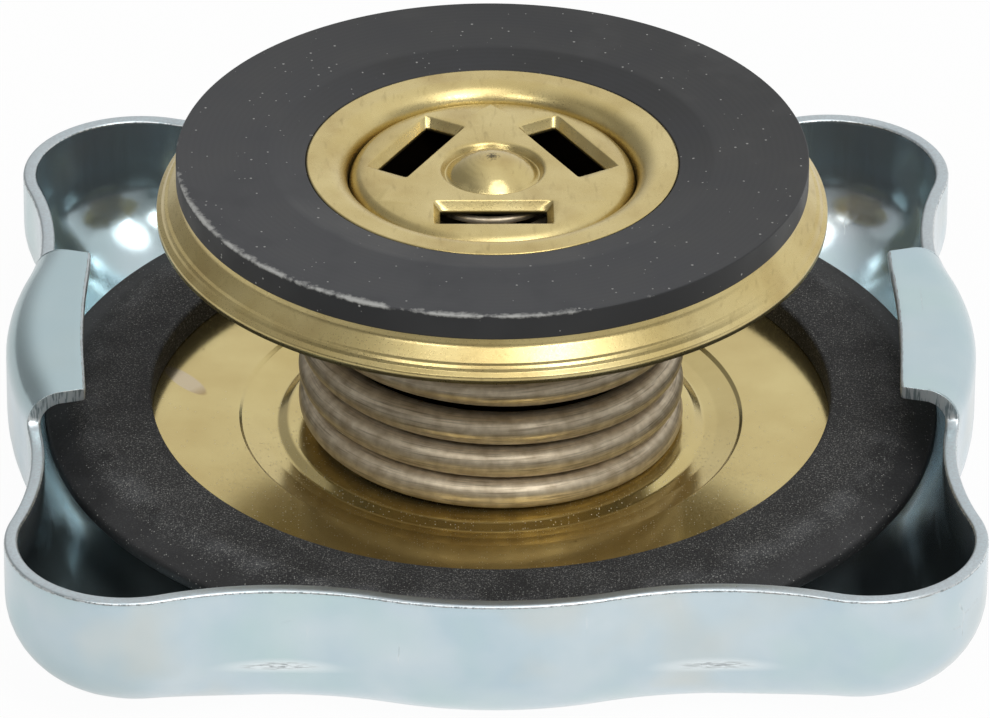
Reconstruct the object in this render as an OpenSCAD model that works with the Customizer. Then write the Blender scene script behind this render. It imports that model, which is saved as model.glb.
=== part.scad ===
// Radiator pressure cap, standing upside down on its outer face.
// Millimetres, +Z up, origin at the middle of the outer face.

/* [Outer shell] */
// Width over the bulges in the middle of two opposite sides
shell_across = 65; // [62:0.5:72]
// Thickness of the pressed steel sheet
shell_sheet = 0.9; // [0.6:0.1:1.2]
// Height of the rim above the outer face
rim_height = 11.3; // [10.5:0.1:16]
// How far the corner lobes stay inside the width over the bulges
lobe_inset = 0.5; // [0:0.25:1.5]
// Outside radius of a corner lobe
lobe_radius = 8; // [7.6:0.1:9]
// Outside radius of the bulge in the middle of a side
bulge_radius = 28; // [24:0.5:34]
// Radius of the hollow flute between a lobe and a bulge
flute_radius = 24; // [16:0.5:30]
// Outside radius of the draw rounding between wall and outer face
draw_radius = 7.5; // [4:0.25:7.5]
// Radius of the recess round the rivet in the outer face
recess_radius = 15; // [11:0.5:20]
// Depth of that recess
recess_depth = 2; // [1.6:0.1:2.6]
// Radius of the rounded edge of the recess
recess_edge = 1.6; // [1:0.1:2]

/* [Bayonet tabs] */
// How far a tab reaches in from the wall's outside
tab_depth = 5.5; // [4.5:0.25:7]
// Width of a tab at its inner edge
tab_width = 18.1; // [12:0.1:19]
// How much further a tab reaches to each side at its bend
tab_spread = 0.95; // [0.2:0.05:1.2]
// Hollow of a tab's inner edge
tab_hollow = 0.3; // [0:0.05:0.5]
// Outside radius of the bend between wall and tab
tab_bend = 2.3; // [1.5:0.1:2.8]
// Radius of the fillet between the rim and a tab's side edge
tab_root = 1; // [0.4:0.1:1.4]

/* [Rivet and washer] */
// Radius of the rivet's shank
rivet_radius = 2.5; // [2:0.1:3]
// Radius of the rivet's heads
rivet_head_radius = 4.8; // [4:0.1:6]
// Height of the domed outer head
rivet_head_height = 1.4; // [1:0.1:1.5]
// Height of the formed inner head
rivet_tail_height = 1.3; // [1:0.1:2]
// Running clearance round the shank
rivet_clearance = 0.05; // [0.03:0.01:0.1]
// Thickness of the friction washer
washer_thick = 0.5; // [0.3:0.1:1]
// Outside radius of the friction washer
washer_radius = 8; // [6:0.5:9]

/* [Spring diaphragm] */
// Thickness of the brass disc
disc_sheet = 0.4; // [0.3:0.05:0.6]
// How far the gasket overhangs the disc
disc_margin = 1.4; // [0.6:0.1:3]
// Height of the spring's seat on the disc above its cupped middle
disc_cup_depth = 2.25; // [1.5:0.05:3]
// Step of the outer flat above the spring's seat
disc_step = 0.2; // [0.1:0.05:0.5]
// Width of the dished ring between the spring's seat and the step line
disc_ring = 3; // [2:0.1:5]
// Depth of the dished ring below the spring's seat
disc_dish = 0.25; // [0.1:0.05:0.4]
// Width of the spring's seat outside the coil
disc_seat_margin = 1; // [0.5:0.1:2]

/* [Neck gasket] */
// Gap between the gasket and the shell's wall
gasket_gap = 1.6; // [1:0.1:3]
// Width of the gasket
gasket_width = 7.2; // [5:0.1:8.5]
// Thickness of the gasket over its flat band
gasket_thick = 1.95; // [1.4:0.05:2.6]
// Thickness of the gasket at its outer edge
gasket_edge = 0.9; // [0.6:0.05:1.3]
// Width of the band that slopes to the outer edge
gasket_slope = 3.2; // [1.5:0.1:5]

/* [Pressure spring] */
// Diameter of the spring wire
spring_wire = 2.15; // [1.6:0.05:2.4]
// Mean radius of the coil
spring_radius = 11.82; // [11.6:0.02:12]
// Number of turns between the two ground faces
spring_turns = 5.6; // [4.6:0.1:5.8]
// Share of a turn that is ground away at each end
spring_tail = 0.6; // [0.2:0.05:0.75]
// Fitted length of the spring
spring_length = 17.85; // [17:0.05:19]

/* [Pressure valve] */
// Thickness of the valve plate
plate_sheet = 0.5; // [0.4:0.05:0.7]
// Radius of the flat seat under the seal
plate_seat_radius = 20.6; // [18:0.1:23]
// Depth of the dished rim below the seat
plate_dish = 1.85; // [1.2:0.05:2.4]
// How far the rim flange reaches beyond the seat
plate_flange = 1.7; // [1.3:0.1:2.4]
// Thickness of the neck tube and its lip
neck_sheet = 0.4; // [0.3:0.05:0.5]
// Clearance between the neck tube and the spring
neck_clearance = 0.3; // [0.2:0.05:0.4]
// Travel of the pressure valve
valve_travel = 3; // [1:0.1:3]
// How far the pressure seal reaches beyond its seat
seal_overhang = 0.4; // [-0.6:0.1:0.8]
// Thickness of the pressure seal
seal_thick = 1.8; // [1.5:0.05:2.4]
// How far the seal is squeezed by the retainer's flange
seal_squeeze = 0.4; // [0.2:0.05:0.6]

/* [Seal retainer] */
// Thickness of the retainer
retainer_sheet = 0.4; // [0.3:0.05:0.5]
// How far the retainer's flange reaches beyond its cup
retainer_lap = 2.35; // [2:0.05:3.5]
// Radius of the roll between flange and cup
retainer_roll = 1.55; // [1:0.05:1.7]
// Depth of the cup below the flange
retainer_depth = 6.8; // [6:0.1:7.5]
// Radius of the vacuum port in the cup's floor
port_radius = 3.5; // [2.5:0.1:4.5]

/* [Vacuum valve] */
// Thickness of the cage
cage_sheet = 0.85; // [0.6:0.05:1]
// How far the cage's top lies below the retainer's flange
cage_drop = 0.55; // [0.2:0.05:1]
// Radius of the cage's rounded shoulder
cage_shoulder = 1.2; // [1:0.1:1.6]
// Number of slots in the cage
slot_count = 3; // [2:1:4]
// Length of a slot
slot_length = 7.9; // [5:0.1:8.4]
// Width of a slot
slot_width = 3.1; // [2:0.1:3.3]
// How much the slot narrows on each side
slot_flare = 0.43; // [0.1:0.01:0.6]
// Depth over which it narrows
slot_funnel = 0.62; // [0.2:0.02:0.8]
// Distance of a slot's middle from the axis
slot_offset = 5.85; // [5.6:0.05:6]
// Radius of the dome in the cage's middle
dome_radius = 3.05; // [2:0.05:3.3]
// Height of that dome above the cage's top
dome_height = 0.9; // [0.5:0.05:1.2]
// Width of the sunk ring round the dome
moat_width = 0.5; // [0.2:0.05:0.8]
// Depth of that ring
moat_depth = 0.15; // [0.05:0.05:0.3]
// Travel of the vacuum valve
vacuum_travel = 1; // [0.5:0.1:1.2]
// Clearance between the vacuum valve's disc and the cage
vacuum_clearance = 1.25; // [0.6:0.05:2.5]
// Thickness of that disc
vacuum_thick = 0.6; // [0.4:0.05:0.8]
// Thickness of its rubber washer
vacuum_seal_thick = 0.9; // [0.6:0.05:1.1]
// Radius of its guide stem
stem_radius = 1.5; // [1:0.1:2]
// Length of the stem below the washer
stem_length = 1.8; // [1:0.1:2.2]
// Wire diameter of the vacuum spring
light_wire = 0.55; // [0.4:0.05:0.6]
// Mean radius of the vacuum spring
light_radius = 4.4; // [3.6:0.1:5.5]
// Number of turns of the vacuum spring
light_turns = 3.2; // [2.6:0.1:3.6]

/* [Hidden] */
$fn = 96;

// gap left between pieces that are pressed together, and between pieces that slide
press_gap = 0.03;
slide_gap = 0.3;
rest_gap = 0.05;
eps = 0.01;

zinc = "#b9cfd8";
brass = "#d8c27c";
rubber = "#2e2f31";
spring_steel = "#85786c";

// plan of the shell: tangent arcs with their centres on one side of the square
half_across = shell_across / 2;
bulge_centre = half_across - bulge_radius;
lobe_offset = half_across - lobe_inset - lobe_radius;
lobe_span = norm([lobe_offset, lobe_offset - bulge_centre]);
to_bulge = bulge_radius + flute_radius;
to_lobe = lobe_radius + flute_radius;
flute_along = (pow(to_bulge, 2) - pow(to_lobe, 2) + pow(lobe_span, 2)) / (2 * lobe_span);
flute_aside = sqrt(pow(to_bulge, 2) - pow(flute_along, 2));
lobe_dir = [lobe_offset, lobe_offset - bulge_centre] / lobe_span;
// the flute's centre: along the side, then outwards from the axis
flute_s = lobe_dir[0] * flute_along - lobe_dir[1] * flute_aside;
flute_y = bulge_centre + lobe_dir[1] * flute_along + lobe_dir[0] * flute_aside;
// half angle of the bulge, and the flute's angle from its bulge end to its lobe end
bulge_half = atan2(flute_s, flute_y - bulge_centre);
flute_turn = atan2(lobe_offset - flute_s, flute_y - lobe_offset);
tab_half = tab_width / 2;
tab_height = rim_height + tab_bend;
tab_reach = half_across - tab_depth;

// heights of the stack on the rivet
boss_top = recess_depth + shell_sheet;
cup_floor = boss_top + washer_thick;
hanger_floor = cup_floor + disc_sheet;
seat_top = hanger_floor + disc_cup_depth;
flat_top = seat_top + disc_step;
bore_radius = rivet_radius + rivet_clearance;

// the gasket lies inside the shell's wall, and the disc inside the gasket
gasket_out = half_across - shell_sheet - gasket_gap;
gasket_in = gasket_out - gasket_width;
disc_radius = gasket_out - disc_margin;
disc_seat_radius = spring_radius + spring_wire / 2 + disc_seat_margin;
disc_step_radius = disc_seat_radius + disc_ring;
disc_ramp = 0.4;
disc_rise = 0.3;

// the coil's first full turn starts at the front and climbs clockwise, and its closed turns touch
spring_start = 270;
coil_touch = 0.02;

// the pressure valve stands on its spring
plate_under = seat_top + spring_length;
seal_floor = plate_under + plate_sheet;
seal_top = seal_floor + seal_thick;
retainer_top = seal_top - seal_squeeze;
plate_radius = plate_seat_radius + plate_flange;
seal_radius = plate_seat_radius + seal_overhang;
neck_out = spring_radius - spring_wire / 2 - neck_clearance;
neck_in = neck_out - neck_sheet;
cup_out = neck_in - press_gap;
cup_in = cup_out - retainer_sheet;
retainer_radius = cup_out + retainer_lap;
cup_under = retainer_top - retainer_depth;
cup_inside = cup_under + retainer_sheet;

// the hanger holds the neck's lip and lets the valve sink by its travel
hanger_sheet = 0.6;
hanger_play = 0.15;
lip_hold = 0.4;
hanger_top = cup_under - valve_travel - slide_gap;
hanger_flange = neck_in - slide_gap - hanger_play;
lip_in = hanger_flange - lip_hold;
hanger_out = lip_in - slide_gap;
hanger_in = hanger_out - hanger_sheet;
lip_top = hanger_top - hanger_sheet - rest_gap;
disc_cup_in = hanger_out + slide_gap;

// the vacuum valve stands on the cup's floor, below the cage
light_tail = 0.3;
light_start = 60;
cage_fit = 0.1;
cage_out = cup_in - cage_fit;
cage_in = cage_out - cage_sheet;
cage_top = retainer_top - cage_drop;
cage_under = cage_top - cage_sheet;
vacuum_floor = cup_inside + vacuum_seal_thick;
vacuum_top = vacuum_floor + vacuum_thick;
vacuum_radius = cage_in - vacuum_clearance;

// points on an arc, from angle a to angle b
function arc(c, r, a, b, n = 8) = [for (i = [0:n])
    let (t = a + (b - a) * i / n)
    c + r * [cos(t), sin(t)]];

// a ring between two radii and two heights
module ring(inner, outer, low, high) {
    translate([0, 0, low])
        difference() {
            cylinder(r = outer, h = high - low);
            translate([0, 0, -eps])
                cylinder(r = inner, h = high - low + 2 * eps);
        }
}

// points of the rim on an arc, each with its direction inwards: side -1 bulges outwards, 1 is hollow
function rim_arc(c, r, a, b, n, side) = [for (i = [0:n - 1])
    let (t = a + (b - a) * i / n, u = [cos(t), sin(t)])
    [c + r * u, side * u]];

function quarter(p, q) = [p[0] * cos(90 * q) - p[1] * sin(90 * q), p[0] * sin(90 * q) + p[1] * cos(90 * q)];

// one side facing -Y, left flute to right lobe, and the whole rim as four of them
rim_side = concat(
    rim_arc([-flute_s, -flute_y], flute_radius, 90 + flute_turn, 90 - bulge_half, 6, 1),
    rim_arc([0, -bulge_centre], bulge_radius, 270 - bulge_half, 270 + bulge_half, 7, -1),
    rim_arc([flute_s, -flute_y], flute_radius, 90 + bulge_half, 90 - flute_turn, 6, 1),
    rim_arc([lobe_offset, -lobe_offset], lobe_radius, 270 - flute_turn, 360 + flute_turn, 9, -1));
rim = [for (q = [0:3]) for (e = rim_side) [quarter(e[0], q), quarter(e[1], q)]];

// section of the drawn cup from its outer face over the rim to its inner face: distance inwards, height
cup_path = concat(
    arc([draw_radius, draw_radius], draw_radius, 270, 180),
    [[0, rim_height], [shell_sheet, rim_height]],
    arc([draw_radius, draw_radius], draw_radius - shell_sheet, 180, 270));

module drawn_cup() {
    count = len(rim);
    rings = len(cup_path);
    points = concat(
        [for (s = cup_path) for (e = rim) concat(e[0] + s[0] * e[1], s[1])],
        [[0, 0, 0], [0, 0, shell_sheet]]);
    bands = [for (j = [0:rings - 2]) for (i = [0:count - 1])
        let (k = (i + 1) % count)
        [j * count + i, (j + 1) * count + i, (j + 1) * count + k, j * count + k]];
    faces = [for (i = [0:count - 1])
        let (k = (i + 1) % count)
        each [[rings * count, i, k], [rings * count + 1, (rings - 1) * count + k, (rings - 1) * count + i]]];
    polyhedron(points, concat(bands, faces), convexity = 10);
}

// point of the rim at a distance x along the side that faces -Y, with its direction inwards
function rim_at(x) = let (on_bulge = abs(x) < bulge_radius * sin(bulge_half))
    let (u = on_bulge ? x / bulge_radius : (abs(x) - flute_s) / flute_radius, v = sqrt(1 - u * u))
    on_bulge ? [[x, -bulge_centre - bulge_radius * v], [-u, v]] :
    [[x, -flute_y + flute_radius * v], [sign(x) * u, v]];

// half width of a tab at a height above the rim, with the fillet at its root
function tab_reach_aside(h) = tab_half + tab_spread +
    (h < tab_root ? tab_root - sqrt(pow(tab_root, 2) - pow(tab_root - h, 2)) : 0);

// point of a tab: f runs from -1 to 1 across it
function tab_point(f, d, z) = d == tab_depth ? [f * tab_half, -tab_reach - tab_hollow * (1 - f * f), z] :
    let (e = rim_at(f * tab_reach_aside(z - rim_height)))
    concat(e[0] + d * e[1], z);

// section of a tab: outside of the bend to the edge, and back inside
tab_path = concat(
    arc([tab_bend, rim_height], tab_bend, 180, 90),
    [[tab_depth, tab_height], [tab_depth, tab_height - shell_sheet]],
    arc([tab_bend, rim_height], tab_bend - shell_sheet, 90, 180));

module tab() {
    across = 14;
    rings = len(tab_path);
    points = [for (i = [0:across]) for (s = tab_path) tab_point(2 * i / across - 1, s[0], s[1])];
    bands = [for (i = [0:across - 1]) for (j = [0:rings - 1])
        let (k = (j + 1) % rings)
        [i * rings + j, i * rings + k, (i + 1) * rings + k, (i + 1) * rings + j]];
    ends = [for (j = [0:rings / 2 - 2])
        let (m = rings - 1 - j, last = across * rings)
        each [[m, m - 1, j + 1, j], [last + j, last + j + 1, last + m - 1, last + m]]];
    polyhedron(points, concat(bands, ends), convexity = 10);
}

// the recess in the outer face stands inside the shell as a boss
module boss_section() {
    polygon(concat(
        [[0, shell_sheet / 2], [0, boss_top]],
        arc([recess_radius, boss_top - recess_edge], recess_edge, 90, 20),
        [[recess_radius + recess_edge + 1, shell_sheet / 2]]));
}

module recess_section() {
    inner_edge = max(recess_edge - shell_sheet, 0.2);
    polygon(concat(
        [[0, recess_depth]],
        arc([recess_radius - shell_sheet, recess_depth - inner_edge], inner_edge, 90, 20),
        [[recess_radius + inner_edge, 0], [recess_radius + inner_edge, -1], [0, -1]]));
}

module outer_shell() {
    color(zinc)
        difference() {
            union() {
                drawn_cup();
                for (q = [90, 270])
                    rotate(q)
                        tab();
                rotate_extrude()
                    boss_section();
            }
            rotate_extrude()
                recess_section();
            cylinder(r = bore_radius, h = boss_top + 1);
        }
}

module centre_rivet() {
    tail_taper = 0.6;
    color(spring_steel)
        rotate_extrude()
            polygon(concat(
                [[0, recess_depth - rivet_head_height]],
                [for (a = [15:15:90])
                    [rivet_head_radius * sin(a), recess_depth - rivet_head_height * cos(a)]],
                [[rivet_radius, recess_depth], [rivet_radius, hanger_floor + hanger_sheet],
                    [rivet_head_radius, hanger_floor + hanger_sheet],
                    [rivet_head_radius - tail_taper, hanger_floor + hanger_sheet + rivet_tail_height],
                    [0, hanger_floor + hanger_sheet + rivet_tail_height]]));
}

module friction_washer() {
    color(spring_steel)
        ring(bore_radius, washer_radius, boss_top, cup_floor);
}

// brass disc: cupped middle, spring seat, dished ring, step line and outer flat
module spring_diaphragm() {
    bend = 2 * disc_sheet;
    color(brass)
        rotate_extrude()
            polygon(concat(
                [[bore_radius, cup_floor], [disc_cup_in + disc_sheet, cup_floor]],
                arc([disc_cup_in + bend, seat_top - bend], bend - disc_sheet, 180, 90),
                [[disc_seat_radius, seat_top - disc_sheet],
                    [disc_seat_radius + disc_ramp, seat_top - disc_sheet - disc_dish],
                    [disc_step_radius - disc_rise, seat_top - disc_sheet],
                    [disc_step_radius, flat_top - disc_sheet], [disc_radius, flat_top - disc_sheet],
                    [disc_radius, flat_top], [disc_step_radius, flat_top],
                    [disc_step_radius - disc_rise, seat_top],
                    [disc_seat_radius + disc_ramp, seat_top - disc_dish], [disc_seat_radius, seat_top]],
                arc([disc_cup_in + bend, seat_top - bend], bend, 90, 180),
                [[disc_cup_in, hanger_floor], [bore_radius, hanger_floor]]));
}

module neck_gasket() {
    edge_r = gasket_edge / 2;
    inner_r = 0.25;
    color(rubber)
        rotate_extrude()
            polygon(concat(
                [[gasket_in, flat_top]],
                arc([gasket_in + inner_r, flat_top + gasket_thick - inner_r], inner_r, 180, 90, 4),
                [[gasket_out - gasket_slope, flat_top + gasket_thick]],
                arc([gasket_out - edge_r, flat_top + edge_r], edge_r, 75, -90, 8)));
}

// cup on the rivet whose flange keeps the neck's lip
module valve_hanger() {
    color(brass)
        rotate_extrude()
            polygon([[bore_radius, hanger_floor], [hanger_out, hanger_floor],
                [hanger_out, hanger_top - hanger_sheet], [hanger_flange, hanger_top - hanger_sheet],
                [hanger_flange, hanger_top], [hanger_in, hanger_top],
                [hanger_in, hanger_floor + hanger_sheet], [bore_radius, hanger_floor + hanger_sheet]]);
}

// height of the wire's middle on a coil with a closed turn at each end
function coil_height(turn, turns, length, wire) =
    let (closed = wire + coil_touch, pitch = (length - wire - 2 * closed) / (turns - 2))
    turn < 1 ? wire / 2 + turn * closed :
    turn > turns - 1 ? length - wire / 2 - (turns - turn) * closed :
    wire / 2 + closed + (turn - 1) * pitch;

// point of the wire's circle, cut off flat at both ends of the spring: distance from its middle, height
function ground(u, v, middle, length, wire) =
    let (over = v < 0 ? middle : length - middle, chord = sqrt(max(pow(wire / 2, 2) - pow(over, 2), 0)))
    v < 0 || v > length ? [min(max(u, -chord), chord), v < 0 ? 0 : length] : [u, v];

// round wire swept along the coil, with a tail that is ground away at each end
module coil(radius, wire, turns, tail, length, steps, sides) {
    count = ceil((turns + 2 * tail) * steps);
    points = [for (i = [0:count]) for (j = [0:sides - 1])
        let (turn = (turns + 2 * tail) * i / count - tail,
            middle = coil_height(turn, turns, length, wire),
            u = wire / 2 * cos(360 * (j + 0.5) / sides),
            v = middle + wire / 2 * sin(360 * (j + 0.5) / sides),
            e = ground(u, v, middle, length, wire))
        [(radius + e[0]) * cos(360 * turn), (radius + e[0]) * sin(360 * turn), e[1]]];
    bands = [for (i = [0:count - 1]) for (j = [0:sides - 1])
        let (k = (j + 1) % sides)
        [i * sides + j, (i + 1) * sides + j, (i + 1) * sides + k, i * sides + k]];
    ends = [[for (j = [0:sides - 1]) j], [for (j = [sides - 1:-1:0]) count * sides + j]];
    polyhedron(points, concat(bands, ends), convexity = 10);
}

module pressure_spring() {
    color(spring_steel)
        translate([0, 0, seat_top])
            rotate(spring_start)
                mirror([0, 1, 0])
                    coil(spring_radius, spring_wire, spring_turns, spring_tail, spring_length, 24, 10);
}

// brass dish with a rim flange and a neck that ends in a turned-in lip
module valve_plate() {
    turn_r = 0.6;
    slope = 0.65;
    corner = 0.3;
    bead_width = 0.25;
    bead_height = 0.3;
    foot = plate_seat_radius + slope;
    low = seal_floor - plate_dish;
    color(brass)
        rotate_extrude()
            polygon(concat(
                [[neck_in, seal_floor], [plate_seat_radius - turn_r, seal_floor]],
                arc([plate_seat_radius - turn_r, seal_floor - turn_r], turn_r, 75, 15, 4),
                [[foot, low + bead_height], [foot + 0.4 * bead_width, low + 0.4 * bead_height],
                    [foot + bead_width, low], [plate_radius, low],
                    [plate_radius, low - plate_sheet], [foot - plate_sheet, low - plate_sheet],
                    [plate_seat_radius - plate_sheet, plate_under - corner],
                    [plate_seat_radius - plate_sheet - corner, plate_under],
                    [neck_out, plate_under], [neck_out, lip_top - neck_sheet],
                    [lip_in, lip_top - neck_sheet], [lip_in, lip_top], [neck_in, lip_top]]));
}

// rubber ring, squeezed under the retainer's flange
module pressure_seal() {
    bed = 1;
    rise_width = 2.4;
    inner = retainer_radius - bed;
    edge_r = 0.3;
    color(rubber)
        rotate_extrude()
            polygon(concat(
                [[inner, seal_floor], [seal_radius, seal_floor]],
                arc([seal_radius - edge_r, seal_top - edge_r], edge_r, 0, 90, 4),
                [[retainer_radius + rise_width, seal_top], [retainer_radius + press_gap, retainer_top],
                    [retainer_radius + press_gap, retainer_top - retainer_sheet - press_gap],
                    [inner, retainer_top - retainer_sheet - press_gap]]));
}

// brass eyelet: flange on the seal, roll, and a cup with the vacuum port in its floor
module seal_retainer() {
    roll_x = cup_in + retainer_roll;
    roll_z = retainer_top - retainer_roll;
    color(brass)
        rotate_extrude()
            polygon(concat(
                [[port_radius, cup_under], [cup_out, cup_under]],
                arc([roll_x, roll_z], retainer_roll - retainer_sheet, 180, 90, 6),
                [[retainer_radius, retainer_top - retainer_sheet], [retainer_radius, retainer_top]],
                arc([roll_x, roll_z], retainer_roll, 90, 180, 8),
                [[cup_in, cup_inside], [port_radius, cup_inside]]));
}

// half of a slot's section: a funnel that narrows to a straight throat
function funnel(wide) = [[wide, cage_top + 1], [wide, cage_top], [wide - slot_flare, cage_top - slot_funnel],
    [wide - slot_flare, cage_under - 1]];

module funnel_prism(wide, long) {
    half = funnel(wide / 2);
    rotate([90, 0, 0])
        translate([0, 0, -long / 2])
            linear_extrude(long)
                polygon(concat(half, [for (i = [3:-1:0]) [-half[i][0], half[i][1]]]));
}

module slot() {
    intersection() {
        funnel_prism(slot_width, slot_length + 1);
        rotate(90)
            funnel_prism(slot_length, slot_width + 1);
    }
}

// pierced brass cup with its closed end up and a dome in a sunk ring
module vacuum_cage() {
    inner_shoulder = max(cage_shoulder - cage_sheet, 0.2);
    tall = dome_height + moat_depth;
    ball = (pow(dome_radius, 2) + pow(tall, 2)) / (2 * tall);
    rise = asin(dome_radius / ball);
    color(brass)
        difference() {
            rotate_extrude()
                polygon(concat(
                    [[cage_in, cup_inside], [cage_out, cup_inside]],
                    arc([cage_out - cage_shoulder, cage_top - cage_shoulder], cage_shoulder, 0, 90),
                    [[dome_radius + moat_width, cage_top]],
                    arc([0, cage_top + dome_height - ball], ball, 90 - rise, 90, 6),
                    [[0, cage_under]],
                    arc([cage_in - inner_shoulder, cage_under - inner_shoulder], inner_shoulder, 90, 0, 4)));
            for (k = [0:slot_count - 1])
                rotate(360 / slot_count * k - 90)
                    translate([slot_offset, 0, 0])
                        slot();
        }
}

module vacuum_spring() {
    color(spring_steel)
        translate([0, 0, vacuum_top])
            rotate(light_start)
                coil(light_radius, light_wire, light_turns, light_tail, cage_under - vacuum_top, 20, 6);
}

module vacuum_valve() {
    color(brass)
        union() {
            translate([0, 0, vacuum_floor])
                cylinder(r = vacuum_radius, h = vacuum_thick);
            translate([0, 0, cup_inside - stem_length])
                cylinder(r = stem_radius, h = stem_length + vacuum_seal_thick + vacuum_thick);
        }
}

module vacuum_seal() {
    color(rubber)
        ring(stem_radius + press_gap, vacuum_radius, cup_inside, vacuum_floor);
}

outer_shell();
centre_rivet();
friction_washer();
spring_diaphragm();
neck_gasket();
valve_hanger();
pressure_spring();
valve_plate();
pressure_seal();
seal_retainer();
vacuum_cage();
vacuum_spring();
vacuum_valve();
vacuum_seal();
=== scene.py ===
import math

import bmesh
import bpy
import numpy as np
from mathutils import Matrix, Vector


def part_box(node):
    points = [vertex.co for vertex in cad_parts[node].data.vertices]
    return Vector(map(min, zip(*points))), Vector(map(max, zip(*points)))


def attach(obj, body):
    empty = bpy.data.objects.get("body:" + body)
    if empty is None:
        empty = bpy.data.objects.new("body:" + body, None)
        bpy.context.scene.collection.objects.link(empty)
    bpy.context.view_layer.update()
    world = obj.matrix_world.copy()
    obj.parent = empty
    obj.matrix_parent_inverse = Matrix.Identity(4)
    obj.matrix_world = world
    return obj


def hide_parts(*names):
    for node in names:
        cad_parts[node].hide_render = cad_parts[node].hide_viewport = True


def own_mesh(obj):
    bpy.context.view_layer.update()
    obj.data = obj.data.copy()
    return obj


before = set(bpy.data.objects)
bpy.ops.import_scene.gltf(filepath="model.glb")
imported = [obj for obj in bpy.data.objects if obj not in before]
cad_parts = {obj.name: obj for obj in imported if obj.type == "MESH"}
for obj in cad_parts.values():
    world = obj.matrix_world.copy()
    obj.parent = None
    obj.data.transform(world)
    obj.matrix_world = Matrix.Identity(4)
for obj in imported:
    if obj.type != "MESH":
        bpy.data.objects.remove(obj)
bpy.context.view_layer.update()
scene = bpy.context.scene
scene.view_settings.view_transform = "Standard"
mm = 0.001
ringStep = 0.32  # metres between the rings of a ring wave of scale 1
print("frame loaded:", len(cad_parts), "nodes")


# sRGB hex to linear red, green, blue, alpha
def linear(hexColour):
    part = np.array([int(hexColour[i:i + 2], 16) / 255 for i in (1, 3, 5)])
    part = np.where(part <= 0.04045, part / 12.92, ((part + 0.055) / 1.055) ** 2.4)
    return (*part.tolist(), 1.0)


# feeds a node's inputs: a node's first live output or one socket is linked, anything else is a fixed value
def feed(tree, made, given):
    for name, value in given.items():
        if isinstance(value, bpy.types.Node):
            value = next(socket for socket in value.outputs if socket.enabled)
        if isinstance(value, bpy.types.NodeSocket):
            tree.links.new(value, made.inputs[name])
        else:
            made.inputs[name].default_value = value


# adds a shader node with its settings and feeds its inputs; a Mix has its share at 0, numbers at 2 and 3 and
# colours at 6 and 7
def addNode(tree, kind, given=None, **settings):
    made = tree.nodes.new("ShaderNode" + kind)
    for name, value in settings.items():
        setattr(made, name, value)
    feed(tree, made, given or {})
    return made


# lays a colour over another: from no share of it to the most while a value goes from start to end
def tinted(tree, under, colour, value, start, end, most=1.0):
    share = addNode(tree, "MapRange", {"Value": value, "From Min": start, "From Max": end, "To Max": most})
    return addNode(tree, "Mix", {0: share, 6: under, 7: linear(colour)}, data_type="RGBA")


# a new material: the finish, its node tree, its shader and the Object coordinates
def newFinish(name):
    finish = bpy.data.materials.new(name)
    finish.use_nodes = True
    tree = finish.node_tree
    place = addNode(tree, "TexCoord").outputs["Object"]
    return finish, tree, tree.nodes["Principled BSDF"], place


# lowest and highest corner of a node in millimetres
def boxOf(node):
    low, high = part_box(node)
    return np.array(low) / mm, np.array(high) / mm


# quads of a grid whose columns close round; its rows close too where asked
def gridFaces(rows, cols, closeRows):
    i = np.arange(rows if closeRows else rows - 1)[:, None]
    j = np.arange(cols)[None, :]
    n, k = (i + 1) % rows, (j + 1) % cols
    return np.stack([i * cols + j, i * cols + k, n * cols + k, n * cols + j], -1).reshape(-1, 4)


# one mesh from blocks of (points, faces): blocks are joined where their points meet, normals outwards
def addPiece(name, blocks, finish, body, nodes, shearedEdge=None):
    start = np.cumsum([0] + [len(points) for points, faces in blocks])
    points = np.concatenate([points for points, faces in blocks]) * mm
    faces = np.concatenate([faces + n for (p, faces), n in zip(blocks, start)])
    mesh = bpy.data.meshes.new(name)
    mesh.from_pydata(points.tolist(), [], faces.tolist())
    if shearedEdge is not None:
        mesh.attributes.new("shearedEdge", "FLOAT", "POINT").data.foreach_set("value", shearedEdge)
    work = bmesh.new()
    work.from_mesh(mesh)
    bmesh.ops.remove_doubles(work, verts=work.verts, dist=2e-7)
    bmesh.ops.dissolve_degenerate(work, edges=work.edges, dist=1e-8)
    bmesh.ops.recalc_face_normals(work, faces=work.faces)
    work.to_mesh(mesh)
    work.free()
    mesh.polygons.foreach_set("use_smooth", np.ones(len(mesh.polygons), bool))
    mesh.materials.append(finish)
    piece = bpy.data.objects.new(name, mesh)
    scene.collection.objects.link(piece)
    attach(piece, body)
    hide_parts(*nodes)
    print("made", name, len(mesh.polygons), "faces")
    return piece


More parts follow.
